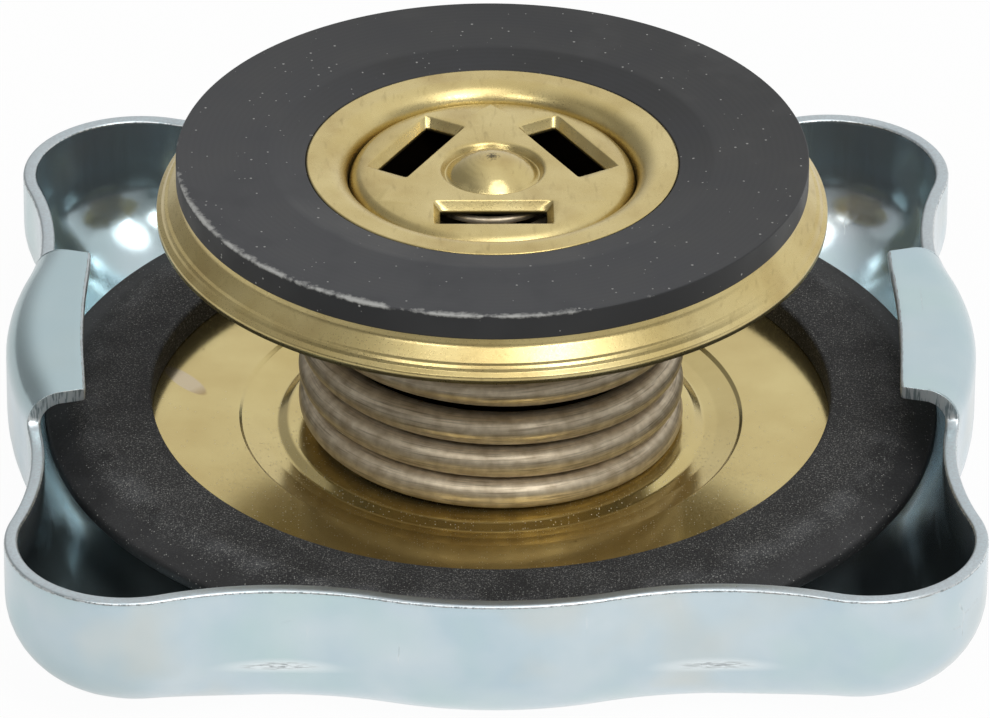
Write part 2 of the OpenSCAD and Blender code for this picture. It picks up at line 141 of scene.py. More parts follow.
# profile of (radius, height, rounding) corners: each rounded corner is an arc that touches both its sides,
# and a long straight has a point close to each end, so that it stays flat when shaded smooth
def roundPath(corners, closed=False, steps=7, near=0.05):
    given = np.array(corners, float)
    p, size = given[:, :2], np.maximum(given[:, 2], 1e-6)
    back, ahead = np.roll(p, 1, 0) - p, np.roll(p, -1, 0) - p
    if not closed:
        back[0], ahead[-1] = -ahead[0] * (1 + 1e-9), -back[-1] * (1 + 1e-9)
    back /= np.linalg.norm(back, axis=1, keepdims=True)
    ahead /= np.linalg.norm(ahead, axis=1, keepdims=True)
    half = np.arccos(np.clip((back * ahead).sum(1), -1, 1)) / 2
    middle = back + ahead
    long = np.linalg.norm(middle, axis=1, keepdims=True)
    straight = long[:, 0] < 1e-6
    middle = np.where(long < 1e-6, back, middle / np.maximum(long, 1e-9))
    centre = p + middle * (size / np.sin(np.where(straight, 1, half)))[:, None]
    first = p + back * (size / np.tan(np.where(straight, 1, half)))[:, None] - centre
    last = p + ahead * (size / np.tan(np.where(straight, 1, half)))[:, None] - centre
    a, b = np.arctan2(first[:, 1], first[:, 0]), np.arctan2(last[:, 1], last[:, 0])
    turn = (b - a + np.pi) % (2 * np.pi) - np.pi
    t = a[:, None] + turn[:, None] * np.linspace(0, 1, steps + 1)
    arcs = centre[:, None] + size[:, None, None] * np.stack([np.cos(t), np.sin(t)], -1)
    arcs[straight] = p[straight][:, None]
    path = arcs.reshape(-1, 2)
    if closed:
        path = np.concatenate([path, path[:1]])
    step = np.diff(path, axis=0)
    length = np.linalg.norm(step, axis=1)
    share = np.where(length > 5 * near, near / np.maximum(length, 1e-9), 0)
    held = np.stack([path[:-1], path[:-1] + step * share[:, None], path[1:] - step * share[:, None]],
                    1).reshape(-1, 2)
    held = held if closed else np.concatenate([held, path[-1:]])
    return held[np.concatenate([[True], np.linalg.norm(np.diff(held, axis=0), axis=1) > 1e-4])]


# closed section of a sheet: a path and the same path moved sideways by the sheet's thickness
def sheetLoop(path, thick):
    way = np.gradient(path, axis=0)
    way /= np.linalg.norm(way, axis=1, keepdims=True)
    side = np.stack([-way[:, 1], way[:, 0]], -1) * thick
    return np.concatenate([path, (path + side)[::-1]])


# a section turned round the axis: x = r cos a, y = r sin a, with a from the given angles or evenly round
def turned(section, cols=288, closed=True, angles=None):
    a = np.linspace(0, 2 * np.pi, cols, endpoint=False) if angles is None else angles
    r, z = section[:, :1], section[:, 1:]
    points = np.stack([r * np.cos(a), r * np.sin(a), z + 0 * a], -1)
    return points.reshape(-1, 3), gridFaces(len(section), len(a), closed)


# wire wound on a helix through (turn, height) knots: the wire's circle is carried along it, and what would pass
# below the low plane or above the high one is ground off flat
def coil(radius, wire, knots, low, high, start, hand, steps, sides):
    knot = np.array(knots, float)
    turn = np.linspace(knot[0, 0], knot[-1, 0], int((knot[-1, 0] - knot[0, 0]) * steps))
    middle = np.interp(turn, knot[:, 0], knot[:, 1])
    reach = steps // 6
    soft = np.exp(-0.5 * (np.arange(-reach, reach + 1) / (reach / 2.5)) ** 2)
    ends = np.pad(middle, reach, mode="reflect", reflect_type="odd")
    middle = np.convolve(ends, soft / soft.sum(), mode="valid")[:, None]
    a = (start + hand * 2 * np.pi * turn)[:, None]
    b = np.linspace(0, 2 * np.pi, sides, endpoint=False)[None, :]
    out, z = wire / 2 * np.cos(b) + 0 * middle, middle + wire / 2 * np.sin(b)
    for plane, side in ((low, 1), (high, -1)):
        chord = np.sqrt(np.clip((wire / 2) ** 2 - (plane - middle) ** 2, 0, None))
        gone = (z - plane) * side < 0
        out, z = np.where(gone, np.clip(out, -chord, chord), out), np.where(gone, plane, z)
    points = np.stack([(radius + out) * np.cos(a), (radius + out) * np.sin(a), z], -1)
    caps = np.repeat(points[[0, -1]].mean(1, keepdims=True), sides, 1)
    points = np.concatenate([caps[:1], points, caps[1:]])
    return points.reshape(-1, 3), gridFaces(len(points), sides, False)


# camera: long lens, set where the photograph was taken from; the image is 990 by 718
photo = {"wide": 990, "focal": 9859.6, "eye": (-10.2, -568.2, 349.3), "aim": (0, 0, 13.6), "roll": 0.389,
         "aimAt": (491.36, 318.85), "middle": (495, 359)}
eye, aim = Vector(photo["eye"]) * mm, Vector(photo["aim"]) * mm
camera = bpy.data.objects.new("camera", bpy.data.cameras.new("camera"))
camera.data.sensor_width = 36
camera.data.lens = photo["focal"] / photo["wide"] * 36
camera.data.shift_x = (photo["middle"][0] - photo["aimAt"][0]) / photo["wide"]
camera.data.shift_y = (photo["aimAt"][1] - photo["middle"][1]) / photo["wide"]
camera.matrix_world = (Matrix.Translation(eye) @ (aim - eye).to_track_quat("-Z", "Y").to_matrix().to_4x4()
                       @ Matrix.Rotation(math.radians(photo["roll"]), 4, "Z"))
scene.collection.objects.link(camera)
scene.camera = camera

# studio: pale floor and white surround, dimmer to the left and dark low down behind the camera; a wide soft lamp
# above and two small ones high in front
studio = {"floor": "#f7f7f6", "white": "#ffffff", "fill": 0.4, "leftEnd": 0.3, "lean": (0.9, 0.1, 0.2),
          "leanFrom": -0.5, "leanTo": 0.25, "lowDark": 0.6, "frontFrom": 0.1, "frontTo": -0.3, "lowFrom": 0.72,
          "lowTo": 0.64, "floorShown": 0.96, "floorNear": 0.86, "floorFar": 0.97, "nearAt": 34.0, "farAt": 52.0,
          "floorLeft": 0.3, "leftFrom": -50.0, "leftTo": -15.0, "floorDrop": 0.02, "floorHalf": 6.0,
          "floorRough": 0.9, "boxes": [("topBox", (0.3, -0.6, 1.45), 0.95, 4.4),
                                       ("leftBox", (-1.5, -0.3, 0.9), 1.2, 0.8),
                                       ("frontLeftBox", (-0.48, -1.06, 1.1), 0.5, 3.4),
                                       ("frontRightBox", (0.53, -1.0, 1.12), 0.5, 5.4)]}
for name, spot, wide, power in studio["boxes"]:
    lamp = bpy.data.lights.new(name, "AREA")
    lamp.shape, lamp.size, lamp.energy = "DISK", wide, power
    box = bpy.data.objects.new(name, lamp)
    box.location = spot
    box.rotation_euler = (Vector((0, 0, 0.01)) - Vector(spot)).to_track_quat("-Z", "Y").to_euler()
    scene.collection.objects.link(box)
world = bpy.data.worlds.new("studio") if scene.world is None else scene.world
scene.world = world
world.use_nodes = True
tree = world.node_tree
back = tree.nodes["Background"]
path = addNode(tree, "LightPath")
mirrored = addNode(tree, "Math", {0: path.outputs["Is Glossy Ray"], 1: path.outputs["Is Transmission Ray"]},
                   operation="MAXIMUM")
way = addNode(tree, "TexCoord").outputs["Generated"]
side = addNode(tree, "VectorMath", {0: way, 1: studio["lean"]}, operation="DOT_PRODUCT")
shade = addNode(tree, "MapRange", {"Value": side, "From Min": studio["leanFrom"], "From Max": studio["leanTo"],
                                   "To Min": studio["leftEnd"]}, interpolation_type="SMOOTHSTEP")
way = addNode(tree, "SeparateXYZ", {0: way})
front = addNode(tree, "MapRange", {"Value": way.outputs["Y"], "From Min": studio["frontFrom"],
                                   "From Max": studio["frontTo"], "To Max": studio["lowDark"]})
low = addNode(tree, "MapRange",
              {"Value": way.outputs["Z"], "From Min": studio["lowFrom"], "From Max": studio["lowTo"]},
              interpolation_type="SMOOTHSTEP")
dark = addNode(tree, "Math", {0: front, 1: low}, operation="MULTIPLY")
lit = addNode(tree, "Math", {0: 1.0, 1: dark}, operation="SUBTRACT")
shade = addNode(tree, "Math", {0: shade, 1: lit}, operation="MULTIPLY")
level = addNode(tree, "Mix", {0: mirrored, 2: studio["fill"], 3: shade})
level = addNode(tree, "Mix", {0: path.outputs["Is Camera Ray"], 2: level, 3: 1.0})
feed(tree, back, {"Color": linear(studio["white"]), "Strength": level})

floorPaper, tree, shader, place = newFinish("studioPaper")
feed(tree, shader, {"Base Color": linear(studio["floor"]), "Roughness": studio["floorRough"]})
path = addNode(tree, "LightPath")
mirrored = addNode(tree, "Math", {0: path.outputs["Is Glossy Ray"], 1: path.outputs["Is Transmission Ray"]},
                   operation="MAXIMUM")
far = addNode(tree, "VectorMath", {0: place}, operation="LENGTH")
dim = addNode(tree, "MapRange", {"Value": far, "From Min": studio["nearAt"] * mm, "From Max": studio["farAt"] * mm,
                                 "To Min": studio["floorNear"], "To Max": studio["floorFar"]})
spot = addNode(tree, "SeparateXYZ", {0: place})
left = addNode(tree, "MapRange", {"Value": spot.outputs["X"], "From Min": studio["leftFrom"] * mm,
                                  "From Max": studio["leftTo"] * mm, "To Min": studio["floorLeft"]})
dim = addNode(tree, "Math", {0: dim, 1: left}, operation="MULTIPLY")
share = addNode(tree, "Math", {0: mirrored, 1: dim}, operation="MULTIPLY")
share = addNode(tree, "Mix", {0: path.outputs["Is Camera Ray"], 2: share, 3: studio["floorShown"]})
glow = addNode(tree, "Emission", {"Color": linear(studio["white"]), "Strength": 1.0})
both = addNode(tree, "MixShader", {0: share, 1: shader.outputs[0], 2: glow})
feed(tree, tree.nodes["Material Output"], {"Surface": both})
floorMesh = bpy.data.meshes.new("floor")
# a hair below the cover, so that no two faces share a plane
half, drop = studio["floorHalf"], -studio["floorDrop"] * mm
floorMesh.from_pydata([(-half, -half, drop), (half, -half, drop), (half, half, drop), (-half, half, drop)], [],
                      [(0, 1, 2, 3)])
floorMesh.materials.append(floorPaper)
floor = bpy.data.objects.new("floor", floorMesh)
scene.collection.objects.link(floor)
print("camera and studio set")


# bright zinc plate on drawn steel: pale blue-grey metal with slow blue-green and straw tints, fine draw lines up
# the walls, hairline scratches, and bright torn metal on the sheared edges; shear grain and rubs are finer on the
# real cap and drawn coarser so that they show
zinc = {"base": "#bccfd8", "pale": "#cfdbe0", "green": "#bad3d1", "straw": "#d0cfc4", "torn": "#e2e6e6",
        "trimmed": "#b3bbbf", "speck": "#3f464a", "rubAndHighlight": "#e6eef0", "pocketShade": "#4c5558", "tabAndFootShade": "#a3b8bc",
        "rust": "#6a5f50", "gouge": "#6f777a", "patchMm": 6.0, "tintMm": 9.0, "lineMm": 0.5, "scratchMm": 6.0,
        "grainMm": 0.16, "markMm": 0.1}
# press marks: die rubs, drawn pale as a partly painted highlight
marks = {"at": 14.1, "out": 30.45, "height": 5.35, "long": 3.5, "tall": 0.56}  # rubbed by the die, low in the flutes
# where the painted shade lies, in millimetres: near pockets, tabs and the foot of the left lobes
shadePlaces = {"nearFrom": -4, "nearTo": -14, "lowFrom": 11, "lowTo": 8, "inwards": -6, "tabFrom": 10.8, "tabTo": 12.4,
            "tabSide": 25, "footFrom": 8, "footTo": 3, "cornerFrom": -21, "cornerTo": -29}
zincPlate, tree, shader, place = newFinish("zincPlatedSteel")
patch = addNode(tree, "TexNoise", {"Vector": place, "Scale": 1 / (zinc["patchMm"] * mm), "Detail": 3.0})
aside = addNode(tree, "Mapping", {"Vector": place, "Location": (0.3, 0.1, 0.2)})
tint = addNode(tree, "TexNoise", {"Vector": aside, "Scale": 1 / (zinc["tintMm"] * mm), "Detail": 2.0})
upright = addNode(tree, "Mapping", {"Vector": place, "Scale": (1, 1, 0.05)})
line = addNode(tree, "TexNoise", {"Vector": upright, "Scale": 1 / (zinc["lineMm"] * mm), "Detail": 3.0})
streak = addNode(tree, "Mapping", {"Vector": place, "Scale": (1, 1, 0.15)})
grain = addNode(tree, "TexNoise", {"Vector": streak, "Scale": 1 / (zinc["grainMm"] * mm), "Detail": 2.0})
mix = tinted(tree, linear(zinc["base"]), zinc["pale"], patch, 0.3, 0.7)
mix = tinted(tree, mix, zinc["green"], tint, 0.5, 0.66, 0.5)
mix = tinted(tree, mix, zinc["straw"], tint, 0.46, 0.32, 0.4)
# hairline scratches: edges of long thin cells, shown here and there
slanted = addNode(tree, "Mapping", {"Vector": place, "Rotation": (0.5, 0.9, 0.4), "Scale": (1, 0.12, 0.6)})
cell = addNode(tree, "TexVoronoi", {"Vector": slanted, "Scale": 1 / (zinc["scratchMm"] * mm)},
               feature="DISTANCE_TO_EDGE")
hair = addNode(tree, "MapRange", {"Value": cell, "From Min": 0.007, "From Max": 0.0})
some = addNode(tree, "MapRange", {"Value": patch, "From Min": 0.58, "From Max": 0.66, "To Max": 0.45})
hair = addNode(tree, "Math", {0: hair, 1: some}, operation="MULTIPLY")
# press marks: an oval at the foot of every flute, the same on all four sides; rubbed by the die and partly a painted
# highlight, pale with dark specks
folded = addNode(tree, "SeparateXYZ", {0: addNode(tree, "VectorMath", {0: place}, operation="ABSOLUTE")})
wide = addNode(tree, "Math", {0: folded.outputs[0], 1: folded.outputs[1]}, operation="MAXIMUM")
slim = addNode(tree, "Math", {0: folded.outputs[0], 1: folded.outputs[1]}, operation="MINIMUM")
turnedIn = addNode(tree, "CombineXYZ", {0: slim, 1: wide, 2: folded.outputs[2]})
centred = addNode(tree, "VectorMath", {0: turnedIn, 1: (marks["at"] * mm, marks["out"] * mm, marks["height"] * mm)},
                  operation="SUBTRACT")
oval = addNode(tree, "VectorMath",
               {0: centred, 1: (1 / (marks["long"] * mm), 1 / (2 * mm), 1 / (marks["tall"] * mm))},
               operation="MULTIPLY")
far = addNode(tree, "VectorMath", {0: oval}, operation="LENGTH")
press = addNode(tree, "MapRange", {"Value": far, "From Min": 1.5, "From Max": 0.2}, interpolation_type="SMOOTHSTEP")
mix = addNode(tree, "Mix", {0: press, 6: mix, 7: linear(zinc["rubAndHighlight"])}, data_type="RGBA")
thin = addNode(tree, "Mapping", {"Vector": place, "Scale": (0.12, 0.12, 1.2)})
pit = addNode(tree, "TexNoise",
              {"Vector": thin, "Scale": 1 / (zinc["markMm"] * mm), "Detail": 2.0, "Roughness": 0.6})
core = addNode(tree, "MapRange", {"Value": far, "From Min": 0.8, "From Max": 0.15})
pitted = addNode(tree, "MapRange", {"Value": pit, "From Min": 0.47, "From Max": 0.6, "To Max": 0.7})
pitted = addNode(tree, "Math", {0: pitted, 1: core}, operation="MULTIPLY")
mix = addNode(tree, "Mix", {0: pitted, 6: mix, 7: linear(zinc["speck"])}, data_type="RGBA")
# painted shade in the pockets: inner faces of the near half, low down, darkened where shade falls
facing = addNode(tree, "NewGeometry").outputs["Normal"]
flat = addNode(tree, "VectorMath", {0: place, 1: (1, 1, 0)}, operation="MULTIPLY")
inward = addNode(tree, "VectorMath", {0: flat, 1: facing}, operation="DOT_PRODUCT")
inward = addNode(tree, "MapRange", {"Value": inward, "From Min": 0.0, "From Max": shadePlaces["inwards"] * mm})
spot = addNode(tree, "SeparateXYZ", {0: place})
nearHalf = addNode(tree, "MapRange", {"Value": spot.outputs["Y"], "From Min": shadePlaces["nearFrom"] * mm,
                                      "From Max": shadePlaces["nearTo"] * mm})
lowDown = addNode(tree, "MapRange", {"Value": spot.outputs["Z"], "From Min": shadePlaces["lowFrom"] * mm,
                                     "From Max": shadePlaces["lowTo"] * mm, "To Max": 0.85})
pocketShade = addNode(tree, "Math", {0: inward, 1: nearHalf}, operation="MULTIPLY")
pocketShade = addNode(tree, "Math", {0: pocketShade, 1: lowDown}, operation="MULTIPLY")
mix = addNode(tree, "Mix", {0: pocketShade, 6: mix, 7: linear(zinc["pocketShade"])}, data_type="RGBA")
# painted shade: the tabs greyed, the left one more, and the foot of the lobes on that side darkened
high = addNode(tree, "MapRange", {"Value": spot.outputs["Z"], "From Min": shadePlaces["tabFrom"] * mm,
                                  "From Max": shadePlaces["tabTo"] * mm})
left = addNode(tree, "MapRange", {"Value": spot.outputs["X"], "From Min": shadePlaces["tabSide"] * mm,
                                  "From Max": -shadePlaces["tabSide"] * mm, "To Min": 0.4, "To Max": 0.8})
tabAndFootShade = addNode(tree, "Math", {0: high, 1: left}, operation="MULTIPLY")
foot = addNode(tree, "MapRange", {"Value": spot.outputs["Z"], "From Min": shadePlaces["footFrom"] * mm,
                                  "From Max": shadePlaces["footTo"] * mm})
corner = addNode(tree, "MapRange", {"Value": spot.outputs["X"], "From Min": shadePlaces["cornerFrom"] * mm,
                                    "From Max": shadePlaces["cornerTo"] * mm})
foot = addNode(tree, "Math", {0: foot, 1: corner}, operation="MULTIPLY")
tabAndFootShade = addNode(tree, "Math", {0: tabAndFootShade, 1: foot}, operation="MAXIMUM")
mix = addNode(tree, "Mix", {0: tabAndFootShade, 6: mix, 7: linear(zinc["tabAndFootShade"])}, data_type="RGBA")
edge = addNode(tree, "Attribute", attribute_name="shearedEdge")
torn = addNode(tree, "MapRange", {"Value": grain, "From Min": 0.38, "From Max": 0.6, "To Min": 0.6})
torn = addNode(tree, "Math", {0: edge.outputs["Fac"], 1: torn}, operation="MULTIPLY")
light = addNode(tree, "Math", {0: torn, 1: hair}, operation="MAXIMUM")
facing = addNode(tree, "SeparateXYZ", {0: facing})
upward = addNode(tree, "MapRange", {"Value": facing.outputs["Z"], "From Min": 0.5, "From Max": 0.85})
side = tinted(tree, linear(zinc["torn"]), zinc["gouge"], grain, 0.48, 0.4, 0.8)
bare = addNode(tree, "Mix", {0: upward, 6: side, 7: linear(zinc["trimmed"])}, data_type="RGBA")
mix = addNode(tree, "Mix", {0: light, 6: mix, 7: bare}, data_type="RGBA")
# a thin broken line of rust where the plating ends at a cut
border = addNode(tree, "Math", {0: edge.outputs["Fac"], 1: 0.5}, operation="SUBTRACT")
border = addNode(tree, "Math", {0: border}, operation="ABSOLUTE")
border = addNode(tree, "MapRange", {"Value": border, "From Min": 0.45, "From Max": 0.1})
broken = addNode(tree, "MapRange", {"Value": line, "From Min": 0.4, "From Max": 0.6, "To Max": 0.8})
border = addNode(tree, "Math", {0: border, 1: broken}, operation="MULTIPLY")
mix = addNode(tree, "Mix", {0: border, 6: mix, 7: linear(zinc["rust"])}, data_type="RGBA")
rough = addNode(tree, "MapRange", {"Value": line, "From Min": 0.3, "From Max": 0.7, "To Min": 0.15, "To Max": 0.21})
worn = addNode(tree, "Math", {0: light, 1: pitted}, operation="MAXIMUM")
rough = addNode(tree, "Math", {0: worn, 1: 0.2, 2: rough}, operation="MULTIPLY_ADD")
bump = addNode(tree, "Bump", {"Height": line, "Strength": 0.04, "Distance": 0.02 * mm})
bump = addNode(tree, "Bump", {"Height": press, "Normal": bump, "Strength": 0.6, "Distance": -0.1 * mm})
bump = addNode(tree, "Bump", {"Height": pitted, "Normal": bump, "Strength": 0.5, "Distance": 0.06 * mm})
bump = addNode(tree, "Bump", {"Height": torn, "Normal": bump, "Strength": 0.08, "Distance": 0.05 * mm})
feed(tree, shader, {"Base Color": mix, "Roughness": rough, "Normal": bump, "Metallic": 0.85})

# satin brass, pressed from rolled strip: pale greenish gold, finely grained, with dark scuffs and brown patina; the
# rolled grain is drawn coarser than it is, so that it shows
satin = {"base": "#bfab72", "pale": "#d2c18b", "scuff": "#85744c", "patina": "#92743f", "inside": "#2b2215",
         "patchMm": 5.0, "grainMm": 0.13, "scuffMm": 0.4, "patinaMm": 4.0, "insideRadius": 9.0, "ringMm": 0.4,
         "dome": 3.0, "apex": 0.7, "cageDeep": 1.75}
satinBrass, tree, shader, place = newFinish("satinBrass")
patch = addNode(tree, "TexNoise", {"Vector": place, "Scale": 1 / (satin["patchMm"] * mm), "Detail": 4.0})
grain = addNode(tree, "TexNoise", {"Vector": place, "Scale": 1 / (satin["grainMm"] * mm), "Detail": 2.0})
slanted = addNode(tree, "Mapping", {"Vector": place, "Rotation": (0, 0, 0.7), "Scale": (1, 0.25, 1)})
scuff = addNode(tree, "TexNoise", {"Vector": slanted, "Scale": 1 / (satin["scuffMm"] * mm), "Detail": 5.0})
aside = addNode(tree, "Mapping", {"Vector": place, "Location": (0.2, 0.3, 0.1)})
stain = addNode(tree, "TexNoise", {"Vector": aside, "Scale": 1 / (satin["patinaMm"] * mm), "Detail": 4.0})
mix = tinted(tree, linear(satin["base"]), satin["pale"], patch, 0.3, 0.7)
mix = tinted(tree, mix, satin["patina"], stain, 0.54, 0.78, 0.4)
rubbed = addNode(tree, "MapRange", {"Value": scuff, "From Min": 0.58, "From Max": 0.74, "To Max": 0.3})
mix = addNode(tree, "Mix", {0: rubbed, 6: mix, 7: linear(satin["scuff"])}, data_type="RGBA")
# a dark rub on the dome's top, and painted shade inside the cage: a dark dull brown over all that lies under its top
flat = addNode(tree, "VectorMath", {0: place, 1: (1, 1, 0)}, operation="MULTIPLY")
radius = addNode(tree, "VectorMath", {0: flat}, operation="LENGTH").outputs["Value"]
spot = addNode(tree, "SeparateXYZ", {0: place})
apex = addNode(tree, "MapRange", {"Value": radius, "From Min": satin["apex"] * mm, "From Max": 0.0, "To Max": 0.55})
apex = addNode(tree, "Math", {0: apex, 1: grain}, operation="ADD")
mix = tinted(tree, mix, satin["inside"], apex, 0.68, 0.95, 0.85)
cageUnder = boxOf("vacuum_cage")[1][2] - satin["cageDeep"]
deep = addNode(tree, "MapRange",
               {"Value": spot.outputs["Z"], "From Min": (cageUnder + 0.25) * mm, "From Max": cageUnder * mm})
within = addNode(tree, "MapRange", {"Value": radius, "From Min": (satin["insideRadius"] + 0.1) * mm,
                                    "From Max": satin["insideRadius"] * mm})
inner = addNode(tree, "Math", {0: deep, 1: within}, operation="MULTIPLY")
mix = addNode(tree, "Mix", {0: inner, 6: mix, 7: linear(satin["inside"])}, data_type="RGBA")
rough = addNode(tree, "MapRange",
                {"Value": grain, "From Min": 0.3, "From Max": 0.7, "To Min": 0.26, "To Max": 0.36})
dull = addNode(tree, "Math", {0: rubbed, 1: inner}, operation="ADD")
rough = addNode(tree, "Math", {0: dull, 1: 0.2, 2: rough}, operation="MULTIPLY_ADD")
ring = addNode(tree, "TexWave",
               {"Vector": place, "Scale": ringStep / (satin["ringMm"] * mm), "Distortion": 2.0, "Detail": 2.0},
               wave_type="RINGS", rings_direction="Z")
onDome = addNode(tree, "MapRange",
                 {"Value": radius, "From Min": satin["dome"] * mm, "From Max": (satin["dome"] - 0.3) * mm})
ring = addNode(tree, "Math", {0: ring.outputs["Fac"], 1: onDome}, operation="MULTIPLY")
rough = addNode(tree, "Math", {0: onDome, 1: -0.13, 2: rough}, operation="MULTIPLY_ADD")
bump = addNode(tree, "Bump", {"Height": ring, "Strength": 0.25, "Distance": 0.01 * mm})
bump = addNode(tree, "Bump", {"Height": grain, "Normal": bump, "Strength": 0.3, "Distance": 0.012 * mm})
bump = addNode(tree, "Bump", {"Height": patch, "Normal": bump, "Strength": 0.3, "Distance": 0.08 * mm})
feed(tree, shader, {"Base Color": mix, "Roughness": rough, "Normal": bump, "Metallic": 0.95})

# bright rolled brass of the diaphragm: near-mirror pale yellow with a fine grain, a few dark spots, dust that
# gathers round the spring, and painted shade on the underside, dark brown where it faces the dark hollow below
bright = {"base": "#bfab72", "pale": "#cebd84", "spot": "#75602f", "dust": "#e9e2c8", "undersideShade": "#33291a",
          "stain": "#c3b6a6", "tip": "#7d5a2c", "hazeMm": 6.0, "grainMm": 0.14, "spotMm": 2.6, "dustMm": 0.17,
          "dustIn": 11.5, "dustOut": 24.0, "dustFrom": 4.0, "dustTo": -9.0, "dropAt": (-20.6, 4.3, 0),
          "dropTurn": -0.94, "dropLong": 2.4, "dropWide": 0.75}
brightBrass, tree, shader, place = newFinish("brightRolledBrass")
haze = addNode(tree, "TexNoise", {"Vector": place, "Scale": 1 / (bright["hazeMm"] * mm), "Detail": 4.0})
grain = addNode(tree, "TexNoise", {"Vector": place, "Scale": 1 / (bright["grainMm"] * mm), "Detail": 3.0})
mix = tinted(tree, linear(bright["base"]), bright["pale"], haze, 0.3, 0.7)
cell = addNode(tree, "TexVoronoi", {"Vector": place, "Scale": 1 / (bright["spotMm"] * mm)})
spot = addNode(tree, "MapRange", {"Value": cell, "From Min": 0.06, "From Max": 0.03, "To Max": 0.5})
kept = addNode(tree, "MapRange", {"Value": haze, "From Min": 0.5, "From Max": 0.55})
spot = addNode(tree, "Math", {0: spot, 1: kept}, operation="MULTIPLY")
mix = addNode(tree, "Mix", {0: spot, 6: mix, 7: linear(bright["spot"])}, data_type="RGBA")
flat = addNode(tree, "VectorMath", {0: place, 1: (1, 1, 0)}, operation="MULTIPLY")
radius = addNode(tree, "VectorMath", {0: flat}, operation="LENGTH")
nearCoil = addNode(tree, "MapRange", {"Value": radius, "From Min": bright["dustOut"] * mm,
                                      "From Max": bright["dustIn"] * mm, "To Max": 0.55})
spotOn = addNode(tree, "SeparateXYZ", {0: place})
nearSide = addNode(tree, "MapRange", {"Value": spotOn.outputs["Y"], "From Min": bright["dustFrom"] * mm,
                                      "From Max": bright["dustTo"] * mm})
nearCoil = addNode(tree, "Math", {0: nearCoil, 1: nearSide}, operation="MULTIPLY")
cell = addNode(tree, "TexVoronoi", {"Vector": place, "Scale": 1 / (bright["dustMm"] * mm)})
lot = addNode(tree, "SeparateColor", {0: cell.outputs["Color"]})
lot = addNode(tree, "Math", {0: nearCoil, 1: lot.outputs[0]}, operation="GREATER_THAN")
grit = addNode(tree, "MapRange", {"Value": cell, "From Min": 0.26, "From Max": 0.14, "To Max": 0.7})
grit = addNode(tree, "Math", {0: grit, 1: lot}, operation="MULTIPLY")
mix = addNode(tree, "Mix", {0: grit, 6: mix, 7: linear(bright["dust"])}, data_type="RGBA")
# one dried drop: a pale pointed stain with a brown tip
drop = addNode(tree, "Mapping", {"Vector": place, "Location": Vector(bright["dropAt"]) * mm,
                                 "Rotation": (0, 0, bright["dropTurn"]),
                                 "Scale": (bright["dropLong"] * mm, bright["dropWide"] * mm, 1)},
               vector_type="TEXTURE")
drop = addNode(tree, "VectorMath", {0: drop, 1: (1, 1, 0)}, operation="MULTIPLY")
dropOut = addNode(tree, "VectorMath", {0: drop}, operation="LENGTH")
dropIn = addNode(tree, "SeparateXYZ", {0: drop})
inDrop = addNode(tree, "MapRange", {"Value": dropOut, "From Min": 1.0, "From Max": 0.85, "To Max": 0.6})
stain = tinted(tree, linear(bright["stain"]), bright["tip"], dropIn.outputs[0], 0.45, 0.95)
mix = addNode(tree, "Mix", {0: inDrop, 6: mix, 7: stain}, data_type="RGBA")
# painted shade: faces turned down are dark brown, as the hollow under the diaphragm is dark
facing = addNode(tree, "SeparateXYZ", {0: addNode(tree, "NewGeometry").outputs["Normal"]})
below = addNode(tree, "MapRange", {"Value": facing.outputs["Z"], "From Min": 0.0, "From Max": -0.3})
mix = addNode(tree, "Mix", {0: below, 6: mix, 7: linear(bright["undersideShade"])}, data_type="RGBA")
rough = addNode(tree, "MapRange", {"Value": grain, "From Min": 0.3, "From Max": 0.7, "To Min": 0.13, "To Max": 0.2})
dull = addNode(tree, "Math", {0: grit, 1: below}, operation="MAXIMUM")
rough = addNode(tree, "Math", {0: dull, 1: 0.35, 2: rough}, operation="MULTIPLY_ADD")
bump = addNode(tree, "Bump", {"Height": grit, "Strength": 0.3, "Distance": 0.05 * mm})
feed(tree, shader, {"Base Color": mix, "Roughness": rough, "Normal": bump, "Metallic": 0.92})

# moulded black rubber of the neck gasket: matt, with pale specks that thin out on the slope, which also paints the
# slope darker as shade, hazy where it bends
black = {"base": "#262627", "haze": "#5b5c5e", "dust": "#b9b9b3", "dustMm": 0.14, "powderMm": 0.13, "hazeMm": 3.0,
         "skinMm": 0.25, "bendAt": 27.0, "bendWide": 1.6, "slopeAt": 27.6}
blackRubber, tree, shader, place = newFinish("mouldedBlackRubber")
haze = addNode(tree, "TexNoise", {"Vector": place, "Scale": 1 / (black["hazeMm"] * mm), "Detail": 4.0})
skin = addNode(tree, "TexNoise", {"Vector": place, "Scale": 1 / (black["skinMm"] * mm), "Detail": 3.0})
flat = addNode(tree, "VectorMath", {0: place, 1: (1, 1, 0)}, operation="MULTIPLY")
radius = addNode(tree, "VectorMath", {0: flat}, operation="LENGTH")
offBend = addNode(tree, "Math", {0: radius, 1: black["bendAt"] * mm}, operation="SUBTRACT")
offBend = addNode(tree, "Math", {0: offBend}, operation="ABSOLUTE")
atBend = addNode(tree, "MapRange",
                 {"Value": offBend, "From Min": black["bendWide"] * mm, "From Max": 0.0, "To Max": 0.5},
                 interpolation_type="SMOOTHSTEP")
veil = addNode(tree, "MapRange", {"Value": haze, "From Min": 0.35, "From Max": 0.7, "To Max": 0.12})
bend = addNode(tree, "MapRange", {"Value": haze, "From Min": 0.35, "From Max": 0.65})
bend = addNode(tree, "Math", {0: bend, 1: atBend}, operation="MULTIPLY")
veil = addNode(tree, "Math", {0: veil, 1: bend}, operation="MAXIMUM")
mix = addNode(tree, "Mix", {0: veil, 6: linear(black["base"]), 7: linear(black["haze"])}, data_type="RGBA")
cell = addNode(tree, "TexVoronoi", {"Vector": place, "Scale": 1 / (black["dustMm"] * mm)})
lot = addNode(tree, "SeparateColor", {0: cell.outputs["Color"]})
